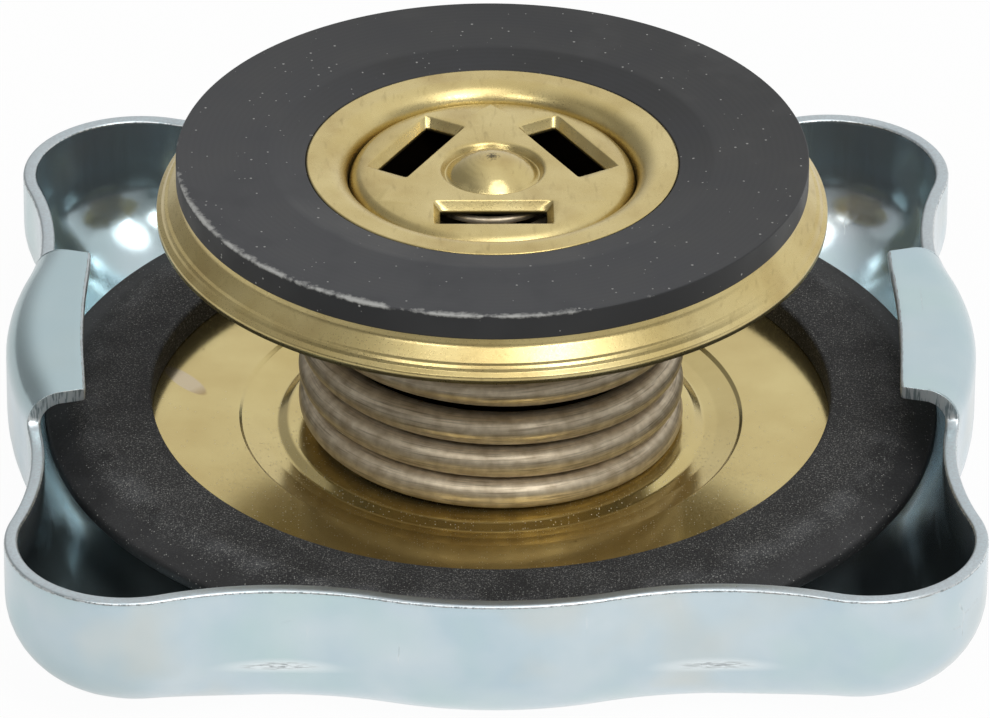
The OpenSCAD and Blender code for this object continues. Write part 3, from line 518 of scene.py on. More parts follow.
share = addNode(tree, "MapRange", {"Value": radius, "From Min": black["slopeAt"] * mm,
                                   "From Max": (black["slopeAt"] + 1) * mm, "To Min": 0.6, "To Max": 0.2})
chosen = addNode(tree, "Math", {0: lot.outputs[0], 1: share}, operation="LESS_THAN")
size = addNode(tree, "MapRange", {"Value": lot.outputs[1], "To Min": 0.12, "To Max": 0.42})
grit = addNode(tree, "Math", {0: size, 1: cell}, operation="SUBTRACT")
grit = addNode(tree, "MapRange", {"Value": grit, "From Min": 0.0, "From Max": 0.1})
strong = addNode(tree, "MapRange", {"Value": lot.outputs[2], "To Min": 0.06, "To Max": 0.75})
grit = addNode(tree, "Math", {0: grit, 1: strong}, operation="MULTIPLY")
grit = addNode(tree, "Math", {0: grit, 1: chosen}, operation="MULTIPLY")
powder = addNode(tree, "TexNoise",
                 {"Vector": place, "Scale": 1 / (black["powderMm"] * mm), "Detail": 2.0, "Roughness": 0.8})
powder = addNode(tree, "MapRange", {"Value": powder, "From Min": 0.52, "From Max": 0.78, "To Max": 0.62})
thick = addNode(tree, "MapRange", {"Value": haze, "From Min": 0.3, "From Max": 0.6, "To Min": 0.35})
# fewer specks and less powder on the outer slope: partly thinner dust, partly painted shade
onSlope = addNode(tree, "MapRange",
                  {"Value": radius, "From Min": black["slopeAt"] * mm, "From Max": (black["slopeAt"] + 1) * mm})
fewerSpecksAndShade = addNode(tree, "MapRange", {"Value": onSlope, "To Min": 1.0, "To Max": 0.15})
thick = addNode(tree, "Math", {0: thick, 1: fewerSpecksAndShade}, operation="MULTIPLY")
powder = addNode(tree, "Math", {0: powder, 1: thick}, operation="MULTIPLY")
grit = addNode(tree, "Math", {0: grit, 1: powder}, operation="MAXIMUM")
mix = addNode(tree, "Mix", {0: grit, 6: mix, 7: linear(black["dust"])}, data_type="RGBA")
rough = addNode(tree, "MapRange", {"Value": skin, "To Min": 0.66, "To Max": 0.85})
rough = addNode(tree, "Math", {0: onSlope, 1: -0.25, 2: rough}, operation="MULTIPLY_ADD")
bump = addNode(tree, "Bump", {"Height": skin, "Strength": 0.25, "Distance": 0.03 * mm})
feed(tree, shader, {"Base Color": mix, "Roughness": rough, "Normal": bump, "Specular IOR Level": 0.32})

# ground rubber of the pressure seal: dark grey satin with fine turning rings, sparse pale specks, a chalky
# frayed rim, and painted light: its top lighter towards the front left
ground = {"base": "#0f1011", "worn": "#303134", "chalk": "#b9b9b5", "ringMm": 0.45, "wearMm": 4.0, "dustMm": 0.5,
          "frayMm": 0.5, "rim": 21.0, "top": 26.2, "rimWide": 0.75, "rimTall": 0.35, "litAndWornSide": (-0.55, -0.83, 0),
          "frayFrom": 6.0, "frayTo": 20.5, "litReach": 18.0}
groundRubber, tree, shader, place = newFinish("groundSealRubber")
ring = addNode(tree, "TexWave",
               {"Vector": place, "Scale": ringStep / (ground["ringMm"] * mm), "Distortion": 1.5, "Detail": 2.0},
               wave_type="RINGS", rings_direction="Z")
wear = addNode(tree, "TexNoise", {"Vector": place, "Scale": 1 / (ground["wearMm"] * mm), "Detail": 4.0})
fray = addNode(tree, "TexNoise",
               {"Vector": place, "Scale": 1 / (ground["frayMm"] * mm), "Detail": 6.0, "Roughness": 0.7})
flat = addNode(tree, "VectorMath", {0: place, 1: (1, 1, 0)}, operation="MULTIPLY")
radius = addNode(tree, "VectorMath", {0: flat}, operation="LENGTH")
spot = addNode(tree, "SeparateXYZ", {0: place})
outer = addNode(tree, "MapRange", {"Value": radius, "From Min": (ground["rim"] - ground["rimWide"]) * mm,
                                   "From Max": ground["rim"] * mm})
upper = addNode(tree, "MapRange", {"Value": spot.outputs["Z"], "From Min": (ground["top"] - ground["rimTall"]) * mm,
                                   "From Max": (ground["top"] - 0.05) * mm})
rim = addNode(tree, "Math", {0: outer, 1: upper}, operation="MULTIPLY")
# the side that is painted lighter, and where the rim frays more
side = addNode(tree, "VectorMath", {0: place, 1: ground["litAndWornSide"]}, operation="DOT_PRODUCT")
often = addNode(tree, "MapRange", {"Value": side, "From Min": ground["frayFrom"] * mm,
                                   "From Max": ground["frayTo"] * mm, "To Min": 0.12, "To Max": 0.75})
rim = addNode(tree, "Math", {0: rim, 1: often}, operation="MULTIPLY")
broken = addNode(tree, "MapRange", {"Value": wear, "From Min": 0.36, "From Max": 0.58, "To Min": 0.25})
rim = addNode(tree, "Math", {0: rim, 1: broken}, operation="MULTIPLY")
chalk = addNode(tree, "Math", {0: rim, 1: fray}, operation="ADD")
chalk = addNode(tree, "MapRange", {"Value": chalk, "From Min": 0.76, "From Max": 1.1, "To Max": 0.8})
cell = addNode(tree, "TexVoronoi", {"Vector": place, "Scale": 1 / (ground["dustMm"] * mm)})
lot = addNode(tree, "SeparateColor", {0: cell.outputs["Color"]})
size = addNode(tree, "MapRange", {"Value": lot.outputs[1], "From Min": 0.55, "To Min": 0.0, "To Max": 0.2})
grit = addNode(tree, "Math", {0: size, 1: cell}, operation="SUBTRACT")
grit = addNode(tree, "MapRange", {"Value": grit, "From Min": 0.0, "From Max": 0.05, "To Max": 0.6})
# painted light: the top is painted lighter towards the front left, in the worn colour
lit = addNode(tree, "MapRange", {"Value": side, "From Min": -ground["litReach"] * mm,
                                 "From Max": ground["litReach"] * mm, "To Max": 0.5})
tone = addNode(tree, "Math", {0: ring.outputs["Fac"], 1: 0.05, 2: lit}, operation="MULTIPLY_ADD")
tone = addNode(tree, "Math", {0: wear, 1: tone}, operation="ADD")
tone = addNode(tree, "MapRange", {"Value": tone, "From Min": 0.5, "From Max": 1.0})
facing = addNode(tree, "SeparateXYZ", {0: addNode(tree, "NewGeometry").outputs["Normal"]})
upward = addNode(tree, "MapRange", {"Value": facing.outputs["Z"], "From Min": 0.3, "From Max": 0.9, "To Min": 0.2})
tone = addNode(tree, "Math", {0: tone, 1: upward}, operation="MULTIPLY")
mix = addNode(tree, "Mix", {0: tone, 6: linear(ground["base"]), 7: linear(ground["worn"])}, data_type="RGBA")
pale = addNode(tree, "Math", {0: grit, 1: chalk}, operation="MAXIMUM")
mix = addNode(tree, "Mix", {0: pale, 6: mix, 7: linear(ground["chalk"])}, data_type="RGBA")
rough = addNode(tree, "MapRange", {"Value": wear, "From Min": 0.3, "From Max": 0.7, "To Min": 0.45, "To Max": 0.62})
bump = addNode(tree, "Bump", {"Height": ring.outputs["Fac"], "Strength": 0.1, "Distance": 0.01 * mm})
bump = addNode(tree, "Bump", {"Height": pale, "Normal": bump, "Strength": 0.5, "Distance": 0.08 * mm})
feed(tree, shader, {"Base Color": mix, "Roughness": rough, "Normal": bump})

# drawn spring wire: warm grey steel, satin, with fine die lines that run along the wire, drawn coarser than they
# are so that they show
wire = {"base": "#e6d8be", "dark": "#c0af93", "scale": "#6d5e4a", "lineMm": 0.12, "patchMm": 0.8, "slow": 0.4}
springSteel, tree, shader, place = newFinish("drawnSpringSteel")
flat = addNode(tree, "VectorMath", {0: place, 1: (1, 1, 0)}, operation="MULTIPLY")
radius = addNode(tree, "VectorMath", {0: flat}, operation="LENGTH")
spot = addNode(tree, "SeparateXYZ", {0: place})
angle = addNode(tree, "Math", {0: spot.outputs["Y"], 1: spot.outputs["X"]}, operation="ARCTAN2")
slow = addNode(tree, "Math", {0: angle, 1: wire["slow"] * mm}, operation="MULTIPLY")
along = addNode(tree, "CombineXYZ", {0: radius, 1: slow, 2: spot.outputs["Z"]})
line = addNode(tree, "TexNoise", {"Vector": along, "Scale": 1 / (wire["lineMm"] * mm), "Detail": 3.0})
patch = addNode(tree, "TexNoise", {"Vector": place, "Scale": 1 / (wire["patchMm"] * mm), "Detail": 4.0})
mix = tinted(tree, linear(wire["base"]), wire["dark"], patch, 0.3, 0.7)
mix = tinted(tree, mix, wire["scale"], line, 0.5, 0.72, 0.55)
rough = addNode(tree, "MapRange", {"Value": line, "From Min": 0.3, "From Max": 0.7, "To Min": 0.4, "To Max": 0.52})
bump = addNode(tree, "Bump", {"Height": line, "Strength": 0.2, "Distance": 0.01 * mm})
feed(tree, shader, {"Base Color": mix, "Roughness": rough, "Normal": bump, "Metallic": 0.65})

# plain steel of the rivet and washer: headed and tumbled, mid grey with a soft mottle
plainLook = {"base": "#adaeab", "dark": "#9c9c98", "mottleMm": 1.8, "grainMm": 0.12}
plainSteel, tree, shader, place = newFinish("tumbledSteel")
mottle = addNode(tree, "TexNoise", {"Vector": place, "Scale": 1 / (plainLook["mottleMm"] * mm), "Detail": 5.0})
grain = addNode(tree, "TexNoise", {"Vector": place, "Scale": 1 / (plainLook["grainMm"] * mm), "Detail": 2.0})
mix = tinted(tree, linear(plainLook["base"]), plainLook["dark"], mottle, 0.3, 0.7)
rough = addNode(tree, "MapRange",
                {"Value": mottle, "From Min": 0.3, "From Max": 0.7, "To Min": 0.3, "To Max": 0.45})
bump = addNode(tree, "Bump", {"Height": grain, "Strength": 0.1, "Distance": 0.005 * mm})
feed(tree, shader, {"Base Color": mix, "Roughness": rough, "Normal": bump, "Metallic": 1.0})
print("finishes made")


# cover: one sheet, its section carried round a plan of tangent arcs; past the rim the same sheet makes the tabs
cover = {"sheet": 0.9, "rim": 11.3, "lobeOffset": 24.0, "lobeRadius": 8.0, "bulgeRadius": 28.0, "fluteRadius": 24.0,
         "drawRadius": 7.5, "tabReach": 27.0, "tabHalf": 9.05, "tabSpread": 0.95, "tabRoot": 1.0, "tabBend": 2.3,
         "tabHollow": 0.3, "tabSlant": 0.3, "edge": 0.2, "recessRadius": 15.0, "recessDepth": 2.0, "bore": 2.55,
         "lift": 0.9, "liftFrom": 31.0, "liftOver": 8.0}
halfAcross = boxOf("outer_shell")[1][0]
bulgeCentre = halfAcross - cover["bulgeRadius"]
span = np.array([cover["lobeOffset"], cover["lobeOffset"] - bulgeCentre])
toBulge, toLobe = cover["bulgeRadius"] + cover["fluteRadius"], cover["lobeRadius"] + cover["fluteRadius"]
along = (toBulge ** 2 - toLobe ** 2 + span @ span) / (2 * np.linalg.norm(span))
aside = math.sqrt(toBulge ** 2 - along ** 2)
span = span / np.linalg.norm(span)
fluteX = span[0] * along - span[1] * aside            # flute centre, along the side
fluteY = bulgeCentre + span[1] * along + span[0] * aside  # and outwards
bulgeHalf = math.atan2(fluteX, fluteY - bulgeCentre)
fluteTurn = math.atan2(cover["lobeOffset"] - fluteX, fluteY - cover["lobeOffset"])
bulgeEnd = cover["bulgeRadius"] * math.sin(bulgeHalf)
lobeEnd = cover["lobeOffset"] - cover["lobeRadius"] * math.sin(fluteTurn)
tabBase = cover["tabHalf"] + cover["tabSpread"]


# rim of one side facing -Y: points, directions inwards and distance along the side; tabbed sides have columns close
# together at the tab's edges
def rimSide(tabbed):
    stops = [bulgeEnd, tabBase - cover["tabSlant"] - 0.05, tabBase + 0.02, tabBase + cover["tabRoot"] + 0.05,
             lobeEnd]
    counts = [10, 26, 18, 30] if tabbed else [4, 3, 6, 32]
    f = np.concatenate([np.linspace(a, b, n, endpoint=False) for a, b, n in zip(stops[:-1], stops[1:], counts)])
    u = (f - fluteX) / cover["fluteRadius"]
    v = np.sqrt(1 - u * u)
    flute = np.stack([f, cover["fluteRadius"] * v - fluteY, u, v, f], -1)
    a = np.linspace(-bulgeHalf, bulgeHalf, 40, endpoint=False)
    s, c = np.sin(a), np.cos(a)
    bulge = np.stack([cover["bulgeRadius"] * s, -bulgeCentre - cover["bulgeRadius"] * c, -s, c,
                      cover["bulgeRadius"] * s], -1)
    a = np.linspace(-fluteTurn, np.pi / 2 + fluteTurn, 46, endpoint=False)
    s, c = np.sin(a), np.cos(a)
    lobe = np.stack([cover["lobeOffset"] + cover["lobeRadius"] * s, -cover["lobeOffset"] - cover["lobeRadius"] * c,
                     -s, c, 99 + 0 * a], -1)
    last = np.array([[lobeEnd, cover["fluteRadius"] * math.cos(fluteTurn) - fluteY, math.sin(fluteTurn),
                      math.cos(fluteTurn), lobeEnd]])
    left = np.concatenate([flute[1:], last])[::-1] * [-1, 1, -1, 1, -1]
    return np.concatenate([left, bulge, flute, lobe])


# how far the sheet goes on past the rim: to the tab's inner edge, less at its slanted sides and root fillets,
# nothing elsewhere
def tabLength(side):
    x = np.abs(side[:, 4])
    bendLong = cover["tabBend"] * np.pi / 2
    edge = cover["tabReach"] + cover["tabHollow"] * np.clip(1 - (x / cover["tabHalf"]) ** 2, 0, 1)
    full = bendLong - cover["tabBend"] + (-side[:, 1] - edge) / side[:, 3]
    rootX = tabBase + cover["tabRoot"] - x
    root = cover["tabRoot"] - np.sqrt(np.clip(cover["tabRoot"] ** 2 - rootX ** 2, 0, None))
    slant = cover["tabRoot"] + (tabBase - x) / cover["tabSlant"] * (full - cover["tabRoot"])
    return np.where(x > tabBase + cover["tabRoot"], 0, np.where(x > tabBase, root, np.minimum(full, slant)))


# a side turned by quarter turns round the axis: points and directions times the turn's matrix
def quarterTurn(side, q):
    c, s = [(1, 0), (0, 1), (-1, 0), (0, -1)][q]
    turn = np.array([[c, s], [-s, c]])
    return np.concatenate([side[:, :2] @ turn, side[:, 2:4] @ turn], -1)


plain, tabbed = rimSide(False), rimSide(True)
sides = [plain, tabbed, plain, tabbed]
rim = np.concatenate([quarterTurn(side, q) for q, side in enumerate(sides)])
past = np.concatenate([tabLength(side) if q % 2 else np.zeros(len(side)) for q, side in enumerate(sides)])
rimPoint, rimIn = rim[:, :2], rim[:, 2:]
around = np.arctan2(rimPoint[:, 1], rimPoint[:, 0])


# rows of the cover at a depth q in the sheet and a length t past the rim: wall below it, then bend, then flat tab
def pastRim(q, t):
    bend = cover["tabBend"]
    a = np.clip(t / bend, 0, np.pi / 2)
    flat = np.clip(t - bend * np.pi / 2, 0, None)
    inwards = bend - (bend - q) * np.cos(a) + flat
    height = cover["rim"] + (bend - q) * np.sin(a) + np.minimum(t, 0)
    return np.concatenate([rimPoint + rimIn * inwards[..., None], height[..., None]], -1)


# rows of the plan moved inwards along its normals, each at its own height
def insetRows(inwards, heights):
    flat = rimPoint[None] + rimIn[None] * inwards[:, None, None]
    return np.concatenate([flat, np.broadcast_to(heights[:, None, None], flat.shape[:2] + (1,))], -1)


# rows between the flat part's outline and a circle
def faceRows(outline, radius, height, shares):
    circle = np.stack([radius * np.cos(around), radius * np.sin(around)], -1)
    flat = outline[None] + (circle - outline)[None] * shares[:, None, None]
    return np.concatenate([flat, np.full(flat.shape[:2] + (1,), height)], -1)


# rows of circles: x = r cos a, y = r sin a at the rim's own angles
def roundRows(profile):
    r, z = profile[:, :1], profile[:, 1:]
    return np.stack([r * np.cos(around), r * np.sin(around), z + 0 * around], -1)


sheet, drawR, rimZ = cover["sheet"], cover["drawRadius"], cover["rim"]
recessR, recessZ, bore = cover["recessRadius"], cover["recessDepth"], cover["bore"]
sweep = np.linspace(0, np.pi / 2, 15)
outerFlat = rimPoint + rimIn * drawR
recessOut = roundPath([(bore, recessZ, 0), (recessR - 0.9, recessZ, 0.7), (recessR + 0.3, 0, 1.0),
                       (recessR + 2.2, 0, 0)])
recessIn = roundPath([(recessR + 3.4, sheet, 0), (recessR + 1.6, sheet, 0.6), (recessR + 0.2, recessZ + sheet, 1.2),
                      (bore, recessZ + sheet, 0)])
rise = np.linspace(0, 1, 15)[:, None] * past[None] - cover["edge"]
edgeTurn = np.linspace(0, np.pi / 2, 5)
edgeIn, edgeUp = cover["edge"] * (1 - np.cos(edgeTurn)), cover["edge"] * (np.sin(edgeTurn) - 1)
edgeDeep = np.concatenate([edgeIn, sheet - edgeIn[::-1]])[:, None]
edgeBack = np.concatenate([edgeUp, edgeUp[::-1]])[:, None]
wallRows = np.array([drawR + 0.3, rimZ - 1.2, rimZ - cover["edge"] - 0.12])
coverRows = np.concatenate([
    roundRows(recessOut),
    faceRows(outerFlat, recessR + 2.2, 0.0, np.array([0.5, 0.02])),
    insetRows(drawR * (1 - np.cos(sweep[::-1])), drawR * (1 - np.sin(sweep[::-1]))),
    insetRows(np.zeros(3), wallRows),
    pastRim(np.zeros_like(rise), rise),
    pastRim(edgeDeep + 0 * past, past + edgeBack),
    pastRim(np.full_like(rise, sheet), rise[::-1]),
    insetRows(np.full(3, sheet), wallRows[::-1]),
    insetRows(drawR - (drawR - sheet) * np.cos(sweep), drawR - (drawR - sheet) * np.sin(sweep)),
    faceRows(outerFlat, recessR + 3.4, sheet, np.array([0.02, 0.5])),
    roundRows(recessIn)])
# where there is no tab, the rows past the rim lie on the edge's start
coverRows[..., 2] = np.where((past[None] < 1e-9) & (coverRows[..., 2] > rimZ), rimZ, coverRows[..., 2])
# the undersides of the lobes rise a little: a smooth lift by distance from the axis that fades out up the wall
reach = np.clip((np.linalg.norm(coverRows[..., :2], axis=-1) - cover["liftFrom"]) / cover["liftOver"], 0, 1)
fade = np.clip(1 - coverRows[..., 2] / drawR, 0, 1)
coverRows[..., 2] += cover["lift"] * reach ** 2 * (3 - 2 * reach) * fade
cut = np.zeros(len(coverRows))
cutFirst = len(recessOut) + 2 + len(sweep) + len(wallRows) + len(rise)
cut[cutFirst + 1:cutFirst + len(edgeDeep) - 1] = 1.0
addPiece("coverShell", [(coverRows.reshape(-1, 3), gridFaces(len(coverRows), len(rimPoint), True))],
         zincPlate, "cover", ["outer_shell"], np.repeat(cut, len(rimPoint)))

# rivet: domed outer head, shank and flattened inner head
low, high = boxOf("centre_rivet")
dome = np.linspace(0, np.pi / 2, 12)
head = np.stack([high[0] * np.sin(dome), recessZ - (recessZ - low[2]) * np.cos(dome)], -1)
shank = roundPath([(bore - 0.05, recessZ, 0), (bore - 0.05, high[2] - 1.3, 0), (high[0], high[2] - 1.3, 0.15),
                   (high[0] - 0.6, high[2], 0.4), (0, high[2], 0)])
addPiece("centreRivet", [turned(np.concatenate([head, shank]), 96, False)], plainSteel, "seat",
         ["centre_rivet"])

# neck gasket: flat band that slopes to a thin rounded edge
gasket = {"inside": 22.8, "slope": 3.2, "edge": 0.9}
low, high = boxOf("neck_gasket")
outR, lowZ, topZ = high[0], low[2], high[2]
section = roundPath([(gasket["inside"], lowZ, 0.12), (outR, lowZ, 0.35), (outR, lowZ + gasket["edge"], 0.4),
                     (outR - gasket["slope"], topZ, 2.5), (gasket["inside"], topZ, 0.25)], closed=True)
addPiece("neckGasket", [turned(section)], blackRubber, "seat", ["neck_gasket"])

# diaphragm: polished brass sheet from its outer edge over the step and the dished ring to the spring seat and cup
disc = {"sheet": 0.4, "stepRadius": 16.9, "step": 0.2, "riser": 0.2, "groove": 14.35, "grooveDeep": 0.38,
        "lip": 13.3, "cup": 9.2, "bore": 2.55}
low, high = boxOf("spring_diaphragm")
outR, topZ, cupZ = high[0], high[2], low[2] + disc["sheet"]
seatZ = topZ - disc["step"]
section = roundPath([(outR, topZ, 0), (disc["stepRadius"] + 0.05, topZ, 0.08),
                     (disc["stepRadius"] - 0.17, topZ - disc["riser"], 0.12),
                     (disc["groove"] + 0.9, seatZ - 0.28, 2.0), (disc["groove"], seatZ - disc["grooveDeep"], 0.35),
                     (disc["lip"] + 0.35, seatZ, 0.5), (disc["cup"], seatZ, 0.8), (disc["cup"], cupZ, 0.5),
                     (disc["bore"], cupZ, 0)])
addPiece("springDiaphragm", [turned(sheetLoop(section, disc["sheet"]))], brightBrass, "seat",
         ["spring_diaphragm"])

# pressure spring: left-hand coil, closed and ground flat at both ends
spring = {"radius": 11.82, "wire": 2.2, "start": 270, "closed": 2.22, "first": 2.5, "turns": 5.6, "tail": 0.62,
          "clear": 0.04, "second": 12.2, "third": 15.15, "travel": 3, "steps": 96, "sides": 28}
low, high = boxOf("valve_plate")
plateTop = high[2]
plateUnder = plateTop - 0.5
foot, crown = seatZ + spring["clear"], plateUnder - spring["clear"]
firstZ, lastZ = foot + spring["wire"] / 2, crown - spring["wire"] / 2
knots = [(-spring["tail"], firstZ - spring["tail"] * spring["closed"]), (1, firstZ + spring["first"]),
         (2, spring["second"]), (3, spring["third"]), (spring["turns"] - 1, lastZ - spring["closed"]),
         (spring["turns"] + spring["tail"], lastZ + spring["tail"] * spring["closed"])]
points = coil(spring["radius"], spring["wire"], knots, foot, crown, math.radians(spring["start"]), -1,
              spring["steps"], spring["sides"])
pressureSpring = addPiece("pressureSpring", [points], springSteel, "seat", ["pressure_spring"])
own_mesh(pressureSpring)

# valve plate: dished brass whose wall runs out in a slope to a ridge, a groove and a narrow flange, and a neck that
# ends in a turned-in lip
plate = {"sheet": 0.5, "seat": 20.6, "dish": 1.85, "slopeTop": 20.78, "ridge": 21.68, "ridgeHigh": 0.36,
         "groove": 21.9, "under": 21.35, "neck": 10.045, "lip": 9.2, "lipTop": 15.05, "lipHigh": 0.4, "droop": 0.2}
outR, flangeZ = high[0], plateTop - plate["dish"]
ridgeZ, neckOut, lipUnder = flangeZ + plate["ridgeHigh"], plate["neck"] + 0.4, plate["lipTop"] - plate["lipHigh"]
top = roundPath([(outR, flangeZ - plate["droop"], 0), (plate["groove"] + 0.1, flangeZ, 0.1),
                 (plate["groove"], flangeZ + 0.2, 0.05), (plate["ridge"] + 0.1, ridgeZ, 0.08),
                 (plate["ridge"] - 0.12, ridgeZ + 0.08, 0.1), (plate["slopeTop"], plateTop - 0.62, 0.6),
                 (plate["seat"], plateTop, 0.1), (plate["neck"], plateTop, 0.25),
                 (plate["neck"], plate["lipTop"], 0.02), (plate["lip"], plate["lipTop"], 0)])
under = roundPath([(plate["lip"], lipUnder, 0), (neckOut, lipUnder, 0.3), (neckOut, plateUnder, 0.3),
                   (plate["seat"] - 0.4, plateUnder, 0.5), (plate["under"], flangeZ - plate["sheet"], 0.2),
                   (outR, flangeZ - plate["sheet"] - plate["droop"], 0)])
addPiece("valvePlate", [turned(np.concatenate([top, under]))], satinBrass, "pressure_valve",
         ["valve_plate"])

# pressure seal: flat ring that dips to the retainer's flange
sealSize = {"inside": 11.4, "flange": 12.37, "squeeze": 0.4, "flangeSheet": 0.43, "edge": 0.1}
low, high = boxOf("pressure_seal")
outR, lowZ, topZ = high[0], low[2], high[2]
lipR, bedZ = sealSize["flange"] + 0.03, topZ - sealSize["squeeze"] - sealSize["flangeSheet"]
section = roundPath([(sealSize["inside"], lowZ, 0.05), (outR, lowZ, 0.12), (outR, topZ, sealSize["edge"]),
                     (sealSize["flange"] + 2.4, topZ, 3.0), (lipR, topZ - sealSize["squeeze"] - 0.03, 0.1),
                     (lipR, bedZ, 0.02), (sealSize["inside"], bedZ, 0.05)], closed=True)
addPiece("pressureSeal", [turned(section)], groundRubber, "pressure_valve", ["pressure_seal"])

# seal retainer: flange, rolled edge and cup with the vacuum port in its floor
keeper = {"sheet": 0.4, "roll": 1.55, "cup": 9.615, "port": 3.5}
low, high = boxOf("seal_retainer")
outR, lowZ, topZ = high[0], low[2], high[2]
section = roundPath([(outR, topZ - 0.05, 0), (outR - 0.12, topZ, 0.1), (keeper["cup"], topZ, keeper["roll"]),
                     (keeper["cup"], lowZ + keeper["sheet"], 0.5), (keeper["port"], lowZ + keeper["sheet"], 0)],
                    steps=14)
addPiece("sealRetainer", [turned(sheetLoop(section, keeper["sheet"]))], satinBrass, "pressure_valve",
         ["seal_retainer"])

# vacuum cage: round cup whose top is a dome in a sunk ring, and three grids, each between the rim of a slot and the
# border of its third; the border's inner side is straight, so that all of it is in sight from the slot's middle
cage = {"sheet": 0.85, "shoulder": 1.2, "border": 8.75, "underBorder": 8.2, "moat": 3.82, "ring": 3.78, "sunk": 0.5,
        "domeRadius": 3.05, "domeHigh": 0.9, "slotAt": 5.85, "slotLong": 7.9, "slotWide": 3.1, "flare": 0.43,
        "funnel": 0.62, "arc": 48, "flank": 12}
low, high = boxOf("vacuum_cage")
outR, lowZ, topZ = high[0], low[2], high[2] - cage["domeHigh"]
underZ = topZ - cage["sheet"]
third = np.pi / 3
arc = np.linspace(-third, third, cage["arc"], endpoint=False)
turns = (-np.pi / 2, np.pi / 6, np.pi * 5 / 6)
lineR = cage["moat"] / np.cos(arc)


# closed border of a third whose outer side has the given radius
def thirdBorder(outside):
    corner = cage["moat"] / math.cos(third)
    flank = np.linspace(outside, corner, cage["flank"], endpoint=False)
    r = np.concatenate([np.full(cage["arc"], outside), flank, cage["moat"] / np.cos(arc), outside + corner - flank])
    a = np.concatenate([arc, np.full(cage["flank"], third), -arc, np.full(cage["flank"], -third)])
    return np.stack([r * np.cos(a), r * np.sin(a)], -1)


border, underBorder = thirdBorder(cage["border"]), thirdBorder(cage["underBorder"])
slotMiddle = np.array([cage["slotAt"], 0])
ray = border - slotMiddle


# rim of a slot, narrower by a margin all round: where each line from its middle meets the rectangle
def slotRim(margin):
    reach = np.minimum((cage["slotWide"] / 2 - margin) / np.maximum(np.abs(ray[:, 0]), 1e-9),
                       (cage["slotLong"] / 2 - margin) / np.maximum(np.abs(ray[:, 1]), 1e-9))
    return slotMiddle + ray * reach[:, None]


# height of the cage's top: flat, then down the shoulder's arc
def cageTop(r):
    past = np.clip(r - (outR - cage["shoulder"]), 0, cage["shoulder"])
    return topZ - cage["shoulder"] + np.sqrt(cage["shoulder"] ** 2 - past ** 2)


lip, funnelEnd = slotRim(0.0), slotRim(cage["flare"])
flatRows = [border + (lip - border) * share for share in (0.0, 0.5, 0.82)]
flatRows.append(slotRim(-0.04))
topRows = [np.concatenate([flat, cageTop(np.linalg.norm(flat, axis=1))[:, None]], -1) for flat in flatRows]
lipZ = cageTop(np.linalg.norm(lip, axis=1))[:, None]
# share of the flare and depth, down the funnel
sinks = [(0.02, 0.03), (0.1, 0.1), (0.9, cage["funnel"] - 0.06), (1.0, cage["funnel"])]
lipZ = np.minimum(lipZ, topZ)
funnelRows = [np.concatenate([lip + (funnelEnd - lip) * share, lipZ - deep], -1) for share, deep in sinks]
underRows = [(funnelEnd, underZ + 0.04), (slotRim(cage["flare"] - 0.04), underZ),
             ((funnelEnd + underBorder) / 2, underZ), (underBorder, underZ)]
underRows = [np.concatenate([flat, np.full((len(flat), 1), z)], -1) for flat, z in underRows]
rows = np.stack(topRows + funnelRows + underRows)
blocks = []
for turn in turns:
    c, s = math.cos(turn), math.sin(turn)
    spun = np.stack([rows[..., 0] * c - rows[..., 1] * s, rows[..., 0] * s + rows[..., 1] * c, rows[..., 2]], -1)
    blocks.append((spun.reshape(-1, 3), gridFaces(len(rows), len(border), False)))
angles = np.concatenate([turn + arc for turn in turns])
shoulderFrom = math.acos((cage["border"] - outR + cage["shoulder"]) / cage["shoulder"])
shoulderTurn = np.linspace(shoulderFrom, 0, 12)
shoulder = np.stack([outR + cage["shoulder"] * (np.cos(shoulderTurn) - 1),
                     topZ + cage["shoulder"] * (np.sin(shoulderTurn) - 1)], -1)
wall = roundPath([(outR, topZ - cage["shoulder"] - 0.1, 0), (outR, lowZ, 0.1), (outR - cage["sheet"], lowZ, 0.1),
                  (outR - cage["sheet"], underZ, 0.35), (cage["underBorder"], underZ, 0)], steps=8)
blocks.append(turned(np.concatenate([shoulder, wall]), closed=False, angles=angles))
domeTall = cage["domeHigh"] + cage["sunk"]
ball = (cage["domeRadius"] ** 2 + domeTall ** 2) / (2 * domeTall)
domeTurn = np.linspace(0, math.asin(cage["domeRadius"] / ball), 18)
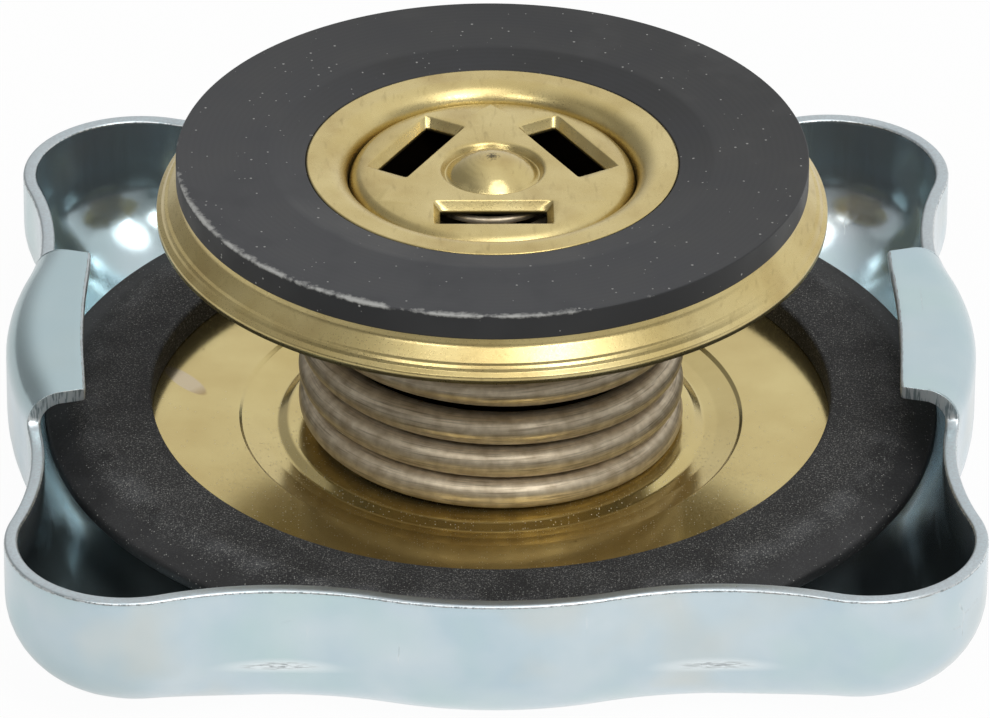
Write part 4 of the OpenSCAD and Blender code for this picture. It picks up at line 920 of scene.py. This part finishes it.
dome = np.stack([ball * np.sin(domeTurn), high[2] - ball * (1 - np.cos(domeTurn))], -1)
moat = roundPath([(cage["domeRadius"] + 0.06, topZ - cage["sunk"], 0),
                  (cage["domeRadius"] + 0.12, topZ - cage["sunk"], 0.06), (cage["ring"] - 0.3, topZ, 0.35),
                  (cage["ring"] + 0.03, topZ, 0)])
crown = np.concatenate([dome, moat, [(cage["moat"], topZ)]])
inside = np.array([(0, underZ), (cage["moat"], underZ)])
for profile in (crown, inside):
    discRows = turned(profile, closed=False, angles=angles)[0].reshape(-1, len(angles), 3)
    discRows[-1, :, :2] *= (np.tile(lineR, len(turns)) / cage["moat"])[:, None]
    blocks.append((discRows.reshape(-1, 3), gridFaces(len(discRows), len(angles), False)))
addPiece("vacuumCage", blocks, satinBrass, "pressure_valve", ["vacuum_cage"])

# vacuum spring: light coil under the cage, closed and ground flat at both ends
lightSpring = {"radius": 4.4, "wire": 0.55, "turns": 3.2, "start": 60, "closed": 0.57, "tail": 0.3, "clear": 0.02,
               "travel": 1, "steps": 72, "sides": 14}
valveTop = boxOf("vacuum_valve")[1][2]
foot, top = valveTop + lightSpring["clear"], underZ - lightSpring["clear"]
firstZ, lastZ, tail = foot + lightSpring["wire"] / 2, top - lightSpring["wire"] / 2, lightSpring["tail"]
knots = [(-tail, firstZ - tail * lightSpring["closed"]), (1, firstZ + lightSpring["closed"]),
         (lightSpring["turns"] - 1, lastZ - lightSpring["closed"]),
         (lightSpring["turns"] + tail, lastZ + tail * lightSpring["closed"])]
points = coil(lightSpring["radius"], lightSpring["wire"], knots, foot, top, math.radians(lightSpring["start"]), 1,
              lightSpring["steps"], lightSpring["sides"])
vacuumSpring = addPiece("vacuumSpring", [points], springSteel, "pressure_valve", ["vacuum_spring"])
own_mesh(vacuumSpring)

# hidden pieces keep their solids and take their finishes
for node, finish in (("friction_washer", plainSteel), ("valve_hanger", satinBrass), ("vacuum_valve", satinBrass),
                     ("vacuum_seal", groundRubber)):
    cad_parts[node].data.materials.clear()
    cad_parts[node].data.materials.append(finish)
print("pieces made")
